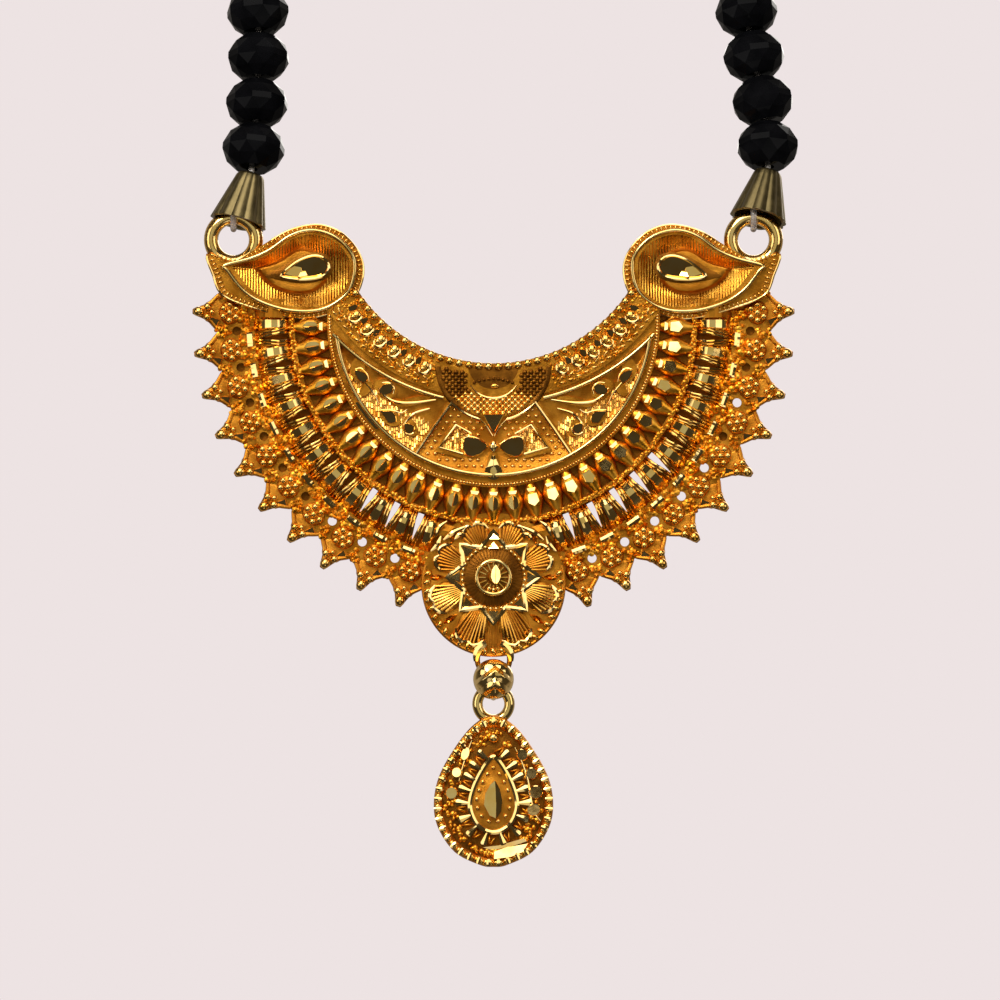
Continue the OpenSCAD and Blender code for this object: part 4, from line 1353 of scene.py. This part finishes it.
def drop_frame(grow=1.0):
    """Outline of the pointed frame round the leaf."""
    right = np.array([[0, -2.95], [0.7, -2.78], [1.4, -2.2], [1.84, -1.2], [1.84, -0.3], [1.5, 0.85],
                      [0.95, 1.95], [0.42, 2.75]])
    left = right[:0:-1] * [-1, 1]
    return grow * smooth_curve(np.concatenate([right, [[0.0, 3.1]], left]), 4, True) + FRAME_MIDDLE


def drop_ring():
    """The ring on which the drop hangs."""
    return wire_ring(0, DROP_RING_V, DROP_RING_R, DROP_WIRE_R)


def drop_share(share):
    """The drop's outline, shrunk to a share."""
    return DROP_MIDDLE + share * (drop_outline() - DROP_MIDDLE)


def drop_grains():
    """The rim's rope of grains, the dots inside the frame and the knob at the top."""
    rim = grains_along(drop_share(DROP_RIM), DROP_FRONT + 0.1, 0.4, (0.2, 0.25, 0.17), closed=True, level=3,
                       slant=20)
    dots = grains_along(drop_frame(0.72), DROP_FRONT + 0.36, 0.72, (0.2, 0.15, 0.14), closed=True, level=3)
    knob = balls([[0, DROP_V + 10.35, DROP_FRONT + 0.1]], 0.42, 3)
    return [rim, dots, knob]


def drop_bars():
    """The bright frame round the leaf, the bars that flare out from it and the petals between them."""
    edge = ridged(drop_frame(), 0.17, DROP_FRONT, DROP_FRONT + 0.5, closed=True)
    bar = ridged([[0.1, 0], [0.35, 0], [0.65, 0], [0.98, 0], [1.14, 0]],
                 np.array([0.09, 0.13, 0.19, 0.26, 0.18]), -0.3, np.array([0.3, 0.31, 0.31, 0.3, 0.26]))
    bars, petals_between = [], []
    for p, a in zip(*evenly(drop_frame(), 0.95, True)):
        out = np.array([a[1], -a[0]])
        out = out if out @ (p - FRAME_MIDDLE) > 0 else -out
        bars.append([[*p, DROP_FRONT + 0.16], [*out, 0], [-out[1], out[0], 0], [0, 0, 1]])
        for side in (-1, 1):
            q = p + 0.62 * out + (0.475 + side * 0.13) * a
            petals_between.append([[*q, DROP_FRONT - 0.02], [*(0.42 * out - side * 0.1 * a), 0],
                                   [*(0.12 * a), 0], [0, 0, 0.34]])
    return [edge, copies(bar, bars)], copies(BALLS[3], petals_between)


def rim_dashes():
    """Bright dashes that lie across the rim all the way round."""
    dash = ridged([[-0.3, 0], [-0.18, 0], [0.0, 0], [0.18, 0], [0.3, 0]],
                  np.array([0.08, 0.13, 0.15, 0.13, 0.08]), -0.2,
                  np.array([0.27, 0.29, 0.3, 0.29, 0.27]), slope=0.4)
    here, along = evenly(drop_share(DROP_RIM), 0.8, True)
    places = [[[*p, DROP_FRONT + 0.16], [a[1], -a[0], 0], [*a, 0], [0, 0, 1]] for p, a in zip(here, along)]
    return copies(dash, places)


def drop_cuts():
    """The leaf in the middle, the round cuts down both sides and the flats at the foot."""
    front, low = DROP_FRONT, DROP_FRONT - 0.3
    shift = np.array([0.0, DROP_V + 5.45])
    left = np.array([[0.12, 1.55], [0.24, 0.0], [0.2, -1.55], [-0.32, -1.32], [-0.78, -0.44], [-0.68, 0.44],
                     [-0.27, 1.2]]) + shift
    right = np.array([[0.14, 1.55], [0.5, 0.87], [0.72, -0.1], [0.6, -1.04], [0.24, -1.55]]) + shift
    parts = [cut_over(left, front, front + 0.4, 0.05, (0.1, -0.16)),
             cut_over(right, front, front + 0.3, 0.05, (-0.25, 0.3))]
    for u, v, half_u, half_v, angle, slope in DROP_OVALS:
        outline = oval(u, DROP_V + v, half_u, half_v, angle)
        parts.append(cut_over(outline, low, front + 0.04, 0.07, slope))
    foot = np.array([[0.0, 1.25], [1.4, 1.75], [2.8, 1.95], [2.4, 1.25], [1.4, 0.85], [0.0, 0.65]])
    parts.append(cut_over(foot + [0, DROP_V], low, front - 0.05, 0.06, (0.0, -0.42)))
    shade = np.array([[-0.9, 1.6], [0.4, 1.75], [2.5, 2.35], [2.7, 2.1], [1.1, 1.55], [-0.1, 1.35]])
    parts.append(cut_over(shade + [0, DROP_V], low, front, 0.05, (0.0, 0.3)))
    return parts


def drop_crumbs():
    """Rough lumps on the ground between the bars and the rim."""
    count = 170
    outer, inner = drop_share(0.8), drop_frame(1.5)
    centres, sizes = [], []
    while len(centres) < count:
        edge = outer[RNG.integers(len(outer))]
        near = inner[np.argmin(np.linalg.norm(inner - edge, axis=1))]
        spot = near + RNG.uniform(0.1, 1.05) * (edge - near)
        centres.append([*(spot + RNG.uniform(-0.12, 0.12, 2)), DROP_FRONT - 0.08])
        sizes.append(RNG.uniform(0.12, 0.26, 3))
    return balls(centres, sizes)


def drop_lines():
    """Bright lines beside the round cuts."""
    right = smooth_curve([[1.7, 9.6], [2.3, 8.3], [2.75, 6.9], [2.95, 5.6], [3.3, 4.3], [3.75, 3.7]], 4)
    left = smooth_curve([[-1.7, 10.2], [-2.0, 9.4], [-2.45, 8.0], [-2.75, 6.9]], 4)
    return [tube(lifted(path + [0, DROP_V], DROP_FRONT + 0.06), swell(0.04, 0.07, len(path)))
            for path in (right, left)]


# The cones, beads and strings, in frame millimetres

def lean_axis(side):
    """The direction in which a cone and its string leave their loop."""
    (c_right, s_right), (c_back, s_back) = (cos_sin(angle) for angle in LEAN[side])
    return np.array([s_right * c_back, s_back, c_right * c_back])


def cone_mouth(side):
    """The middle of a cone's open end."""
    c, s = cos_sin(LEAN[side][0])
    loop = np.array([side * LOOP_OUT, -NECK_DEPTH - MID_Z, LOOP_UP - NECK_DROP])
    return loop + CONE_LIFT[side] * np.array([s, 0, c])


def to_local(points):
    """Frame millimetres to the pendant's own, in which pieces are joined."""
    p = np.asarray(points, float)
    return np.stack([p[..., 0], p[..., 2] + NECK_DROP, -p[..., 1] - NECK_DEPTH], axis=-1)


def cone(side):
    """A hollow cone with flutes, a scalloped mouth and a bored top."""
    axis = lean_axis(side)
    (c_right, s_right), (c_back, s_back) = (cos_sin(angle) for angle in LEAN[side])
    x_axis = np.array([c_right, -s_right * s_back, -s_right * c_back])
    x_axis = unit(x_axis - (x_axis @ axis) * axis)
    y_axis = np.cross(axis, x_axis)
    turn = turns(12 * CONE_FLUTES)
    flute = 1 - np.abs(np.cos(CONE_FLUTES / 2 * turn))
    rings = []
    for share in np.linspace(0, 0.94, 10):
        r = CONE_R + (CONE_TOP_R - CONE_R) * share
        rings.append((0.995 * r * (1 - 0.075 * (1 - 0.4 * share) * flute), share * CONE_LEN))
    rings += [(0.93 * CONE_TOP_R, 0.985 * CONE_LEN), (0.8 * CONE_TOP_R, CONE_LEN), (BORE_R, CONE_LEN),
              (BORE_R, CONE_LEN - CONE_WALL)]
    for share in (0.93, 0.0):
        r = CONE_R + (CONE_TOP_R - CONE_R) * share - CONE_WALL
        rings.append((0.92 * r, share * CONE_LEN))
    spokes = np.cos(turn)[:, None] * x_axis + np.sin(turn)[:, None] * y_axis
    world = [cone_mouth(side) + np.broadcast_to(r, len(turn))[:, None] * spokes + h * axis
             for r, h in rings]
    return loft(to_local(world), closed=True)


def bead_ends(side):
    """Ends of the beads along a string, from the cone to the clasp."""
    top = cone_mouth(side) + CONE_LEN * lean_axis(side)
    near = np.array(ROUTE_NEAR[side]) - [0, NECK_DEPTH, NECK_DROP]
    far = np.array(ROUTE_SIDE) * [-side, 1, 1]
    path = smooth_curve(np.concatenate([[top], near, far]), 8)
    run = run_along(path)
    first = (BEAD_PITCH - BEAD_LEN) / 2 + GAP
    at = first + BEAD_PITCH * np.arange(int((run[-1] - first - GAP) / BEAD_PITCH) + 1)
    return points_at(path, run, at)


def bead():
    """A cut rondelle with its bore along its third axis: faces, then slanted and girdle facets."""
    n = BEAD_SIDES
    half = BEAD_LEN / 2
    girdle, shoulder = 0.14 * half, 0.62 * half
    rings = [(BORE_R, -half, 0), (BEAD_END_R, -half, 0), (BEAD_SHOULDER_R, -shoulder, 0.5),
             (BEAD_R, -girdle, 0), (BEAD_R, girdle, 0), (BEAD_SHOULDER_R, shoulder, 0.5),
             (BEAD_END_R, half, 0), (BORE_R, half, 0)]
    points, faces = [], []
    for r, z, shift in rings:
        points += [[r * math.cos(t), r * math.sin(t), z] for t in (np.arange(n) + shift) * 2 * math.pi / n]
    for i in range(len(rings)):
        j = (i + 1) % len(rings)
        ahead = rings[j][2] > rings[i][2]
        for k in range(n):
            after = (k + 1) % n
            a, b, c, d = i * n + k, i * n + after, j * n + after, j * n + k
            faces += [[a, b, d], [b, c, d]] if ahead else [[a, b, c], [a, c, d]]
    return np.array(points), [np.array(faces)]


def string_of_beads(side):
    """The beads of a string, each a mesh part, in the order from the cone to the clasp."""
    ends = bead_ends(side)
    shape = bead()
    parts = []
    for a, b in zip(ends[:-1], ends[1:]):
        run = unit(b - a)
        tip, turn = math.acos(run[2]), math.atan2(run[1], run[0])
        x_axis = [math.cos(tip) * math.cos(turn), math.cos(tip) * math.sin(turn), -math.sin(tip)]
        y_axis = [-math.sin(turn), math.cos(turn), 0]
        world, faces = copies(shape, [[(a + b) / 2, x_axis, y_axis, run]])
        parts.append((to_local(world), faces))
    return parts


# Everything in its place

piece("ribs", ribs(), BRIGHT, sharp=18)
piece("slot_wires", [slot_wires()], GRAIN)
# Painted shade: dark sheets that close the backs of the upper slots and holes.
piece("slot_shade_webs", [slot_shade_webs(), hole_shade_webs()], PAINTED_SHADE)
piece("net_embers", [embers()], PAINTED_GLOW, sharp=60)
piece("net_bars", [net_bars()], BRIGHT)
piece("net_grain", [net_crumbs(), hole_crumbs()], CAST, sharp=30)
PAD, PAD_GRAINS = flower()
FLOWERS = [around(a, NET_R + 0.92) for a in scallop_angles()]
SCALLOP_PLACES = [around(a, 0) for a in scallop_angles()]
piece("flower_pads", [copies(PAD, FLOWERS)], SATIN)
piece("flower_grains", [copies(PAD_GRAINS, FLOWERS), copies(scallop_grains(), SCALLOP_PLACES)], GRAIN)
piece("scallop_horns", [copies(scallop(), SCALLOP_PLACES)], SATIN, sharp=60)
piece("scallop_walls", [copies(scallop_walls(), SCALLOP_PLACES)], SATIN)
piece("scallop_pockets", scallop_pockets(), MIRROR, sharp=15)
piece("ridge_grain", [ridge()], CAST)
piece("bicone_barrels", [copies(bicone(), [around(a, 0) for a in bicone_angles()])], CAST)
piece("bicone_seat", [bicone_seat()], PAINTED_SHADE)
piece("bicone_cuts", bicone_cuts(), MIRROR, sharp=15)
piece("panel_wire", [wire_beads()], GRAIN)
piece("panel_floor", [panel_sheet()], SATIN)
piece("panel_hatching", [hatch_dashes()], HATCH, sharp=15)
piece("panel_rims", panel_rims() + panel_lines() + half_medallion_rims(), BRIGHT)
piece("panel_cuts", panel_cuts() + bow_drop(), MIRROR, sharp=20)
PAINTED_SHADE_GRAINS, SHINE = half_medallion()
piece("panel_dots", [ground_dots()] + SHINE, GRAIN)
# Painted shade on the upper grains, the dots, the dish and its band.
piece("half_medallion", PAINTED_SHADE_GRAINS + half_medallion_shade(), PAINTED_SHADE)
STUDS, CURLS, HOLLOWS = edge_studs()
piece("edge_beads", edge_beads() + [STUDS], GRAIN)
piece("edge_curls", [CURLS], BRIGHT)
piece("edge_hollows", [HOLLOWS], MIRROR, sharp=15)
piece("edge_grain", [edge_crumbs()], CAST, sharp=30)
RIM, RIM_BEADS = paisley_rim()
piece("paisley_dishes", [both(paisley_dish())], HATCHED)
piece("paisley_bosses", [both(paisley_boss())], SATIN)
TEAR, TEAR_RIM = paisley_cut()
piece("paisley_shade", [both(paisley_shade())], PAINTED_SHADE)
piece("paisley_cuts", [both(part) for part in TEAR], MIRROR, sharp=12)
piece("paisley_rims", [both(RIM), both(TEAR_RIM)], BRIGHT)
piece("string_loops", [loops()], BRIGHT)
piece("paisley_beads", [both(RIM_BEADS)], GRAIN)
LEAVES, LIT_RIBS, DULL_RIBS, LIPS = petals()
STAR_PLATE, STAR_SLOPE, STAR_RIBS = star_body()
piece("medallion_floor", medallion_sheet() + foot_lines() + STAR_PLATE, SATIN)
piece("medallion_leaves", LEAVES, GROUND)
# Painted shade on the star's fluted slope and its flutes.
piece("medallion_shade", STAR_SLOPE, PAINTED_SHADE)
piece("medallion_lit_ribs", LIT_RIBS, LIT_LEAF_GOLD)
piece("medallion_dull_ribs", DULL_RIBS, SATIN)
piece("star_ribs", STAR_RIBS, GRAIN)
piece("medallion_lines", LIPS + star_lines() + upper_tips() + [hanger_arms()], BRIGHT)
piece("medallion_cuts", star_cuts() + leaf_tips(), MIRROR, sharp=15)
piece("medallion_beads", [medallion_beads()], GRAIN)

LINK = piece("ball_and_link", [link_ring(), cut_ball()], BRIGHT, "link", sharp=70)
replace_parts(LINK, "ball_link")

EDGE_AND_BARS, PETALS_BETWEEN = drop_bars()
BODY = piece("drop_shell", [drop_body(), drop_hill()], SATIN, body="drop")
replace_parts(BODY, "drop")
piece("drop_ground", [drop_ground()], PAINTED_SHADE, body="drop")
piece("drop_petals", [PETALS_BETWEEN, drop_crumbs()], CAST, body="drop")
piece("drop_ring", [drop_ring()], BRIGHT, body="drop")
piece("drop_bars", EDGE_AND_BARS + drop_lines() + [rim_dashes()], BRIGHT, body="drop")
piece("drop_grains", drop_grains(), GRAIN, body="drop")
piece("drop_cuts", drop_cuts(), MIRROR, "drop", sharp=15)

for SIDE, WORD in ((-1, "left"), (1, "right")):
    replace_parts(piece("fluted_cone_" + WORD, [cone(SIDE)], CONE, sharp=50), "cone_" + WORD)
    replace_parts(piece("cut_beads_" + WORD, string_of_beads(SIDE), GLASS, sharp=4),
                "beads_" + WORD)

for NODE, MATERIAL in (("pendant", GROUND), ("thread_left", NYLON), ("thread_right", NYLON),
                       ("clasp", CONE)):
    NODE_MESH = frame["nodes"][NODE].data
    NODE_MESH.materials.clear()
    NODE_MESH.materials.append(MATERIAL)


# The light and the camera

# The pendant's middle, which every light faces, in metres
AIM = np.array([0, -0.122, -0.122])
PALE_WALL = (0.847, 0.768, 0.768, 1)


def softbox(name, direction, distance, size, level, colour=(1, 0.97, 0.92)):
    """A square light of that brightness, in a direction from the pendant's middle, facing it."""
    direction = unit(np.asarray(direction, float))
    data = bpy.data.lights.new(name, "AREA")
    data.shape = "SQUARE"
    data.size = size
    data.energy = level * math.pi * size * size
    data.color = colour
    obj = added(name, data)
    obj.location = AIM + direction * distance
    obj.rotation_mode = "QUATERNION"
    obj.rotation_quaternion = Vector(-direction).to_track_quat("-Z", "Y")


def world():
    """The pale wall for the camera; for the metal, a room that is dim in front and paler behind."""
    dim_front, paler_back = (0.05, 0.045, 0.037), (0.34, 0.31, 0.28)
    scene_world = bpy.data.worlds.new("room")
    bpy.context.scene.world = scene_world
    scene_world.use_nodes = True
    nodes, links = scene_world.node_tree.nodes, scene_world.node_tree.links
    seen = nodes["Background"]
    seen.inputs["Color"].default_value = PALE_WALL
    room = nodes.new("ShaderNodeBackground")
    where = nodes.new("ShaderNodeTexCoord")
    split = nodes.new("ShaderNodeSeparateXYZ")
    ramp = colour_ramp(nodes, 0.05, dim_front, 0.6, paler_back)
    links.new(where.outputs["Generated"], split.inputs["Vector"])
    links.new(split.outputs["Y"], ramp.inputs["Fac"])
    links.new(ramp.outputs["Color"], room.inputs["Color"])
    path = nodes.new("ShaderNodeLightPath")
    mix = nodes.new("ShaderNodeMixShader")
    links.new(path.outputs["Is Camera Ray"], mix.inputs["Fac"])
    links.new(room.outputs["Background"], mix.inputs[1])
    links.new(seen.outputs["Background"], mix.inputs[2])
    links.new(mix.outputs["Shader"], nodes["World Output"].inputs["Surface"])


def floor():
    """A plain pale floor a metre below the nape, of the wall's tone and out of the metal's reflections."""
    mesh = bpy.data.meshes.new("floor")
    bm = bmesh.new()
    bmesh.ops.create_circle(bm, cap_ends=True, segments=96, radius=3.0)
    bm.to_mesh(mesh)
    bm.free()
    material, _, _, shader = node_material("pale_floor")
    shader.inputs["Base Color"].default_value = (0, 0, 0, 1)
    shader.inputs["Specular IOR Level"].default_value = 0.0
    shader.inputs["Emission Color"].default_value = PALE_WALL
    shader.inputs["Emission Strength"].default_value = 1.0
    mesh.materials.append(material)
    obj = added("floor", mesh)
    obj.location = (0, 0, -1.0)
    obj.visible_glossy = False
    obj.visible_diffuse = False


def camera():
    """Straight in front, as the photograph is: 80 mm across the frame at the pendant."""
    view_w, view_right, view_down = 80.0, 0.52, 14.32
    data = bpy.data.cameras.new("camera")
    data.sensor_width = 36.0
    data.lens = 400.0
    data.clip_start = 0.05
    data.clip_end = 10.0
    obj = added("camera", data)
    distance = view_w * data.lens / data.sensor_width
    obj.location = (view_right * MM, -(NECK_DEPTH + 1.0 + distance) * MM, -(NECK_DROP + view_down) * MM)
    obj.rotation_euler = (math.pi / 2, 0, 0)
    bpy.context.scene.camera = obj


softbox("front", (0, -1, 0.05), 0.75, 0.62, 0.4, (0.95, 1, 0.84))
softbox("above", (-0.15, -1, 1.15), 0.5, 0.5, 2.5)
softbox("key", (-0.42, -1, 0.62), 0.5, 0.12, 14.0)
softbox("left", (-1, -0.75, 0.15), 0.5, 0.3, 1.5)
softbox("right", (1, -0.75, 0.25), 0.5, 0.28, 1.5)
softbox("low", (0.2, -1, -1.1), 0.5, 0.2, 0.7)
softbox("back", (0.3, 1, 0.5), 0.5, 0.4, 2.0)
world()
floor()
camera()
bpy.context.scene.view_settings.view_transform = "Standard"
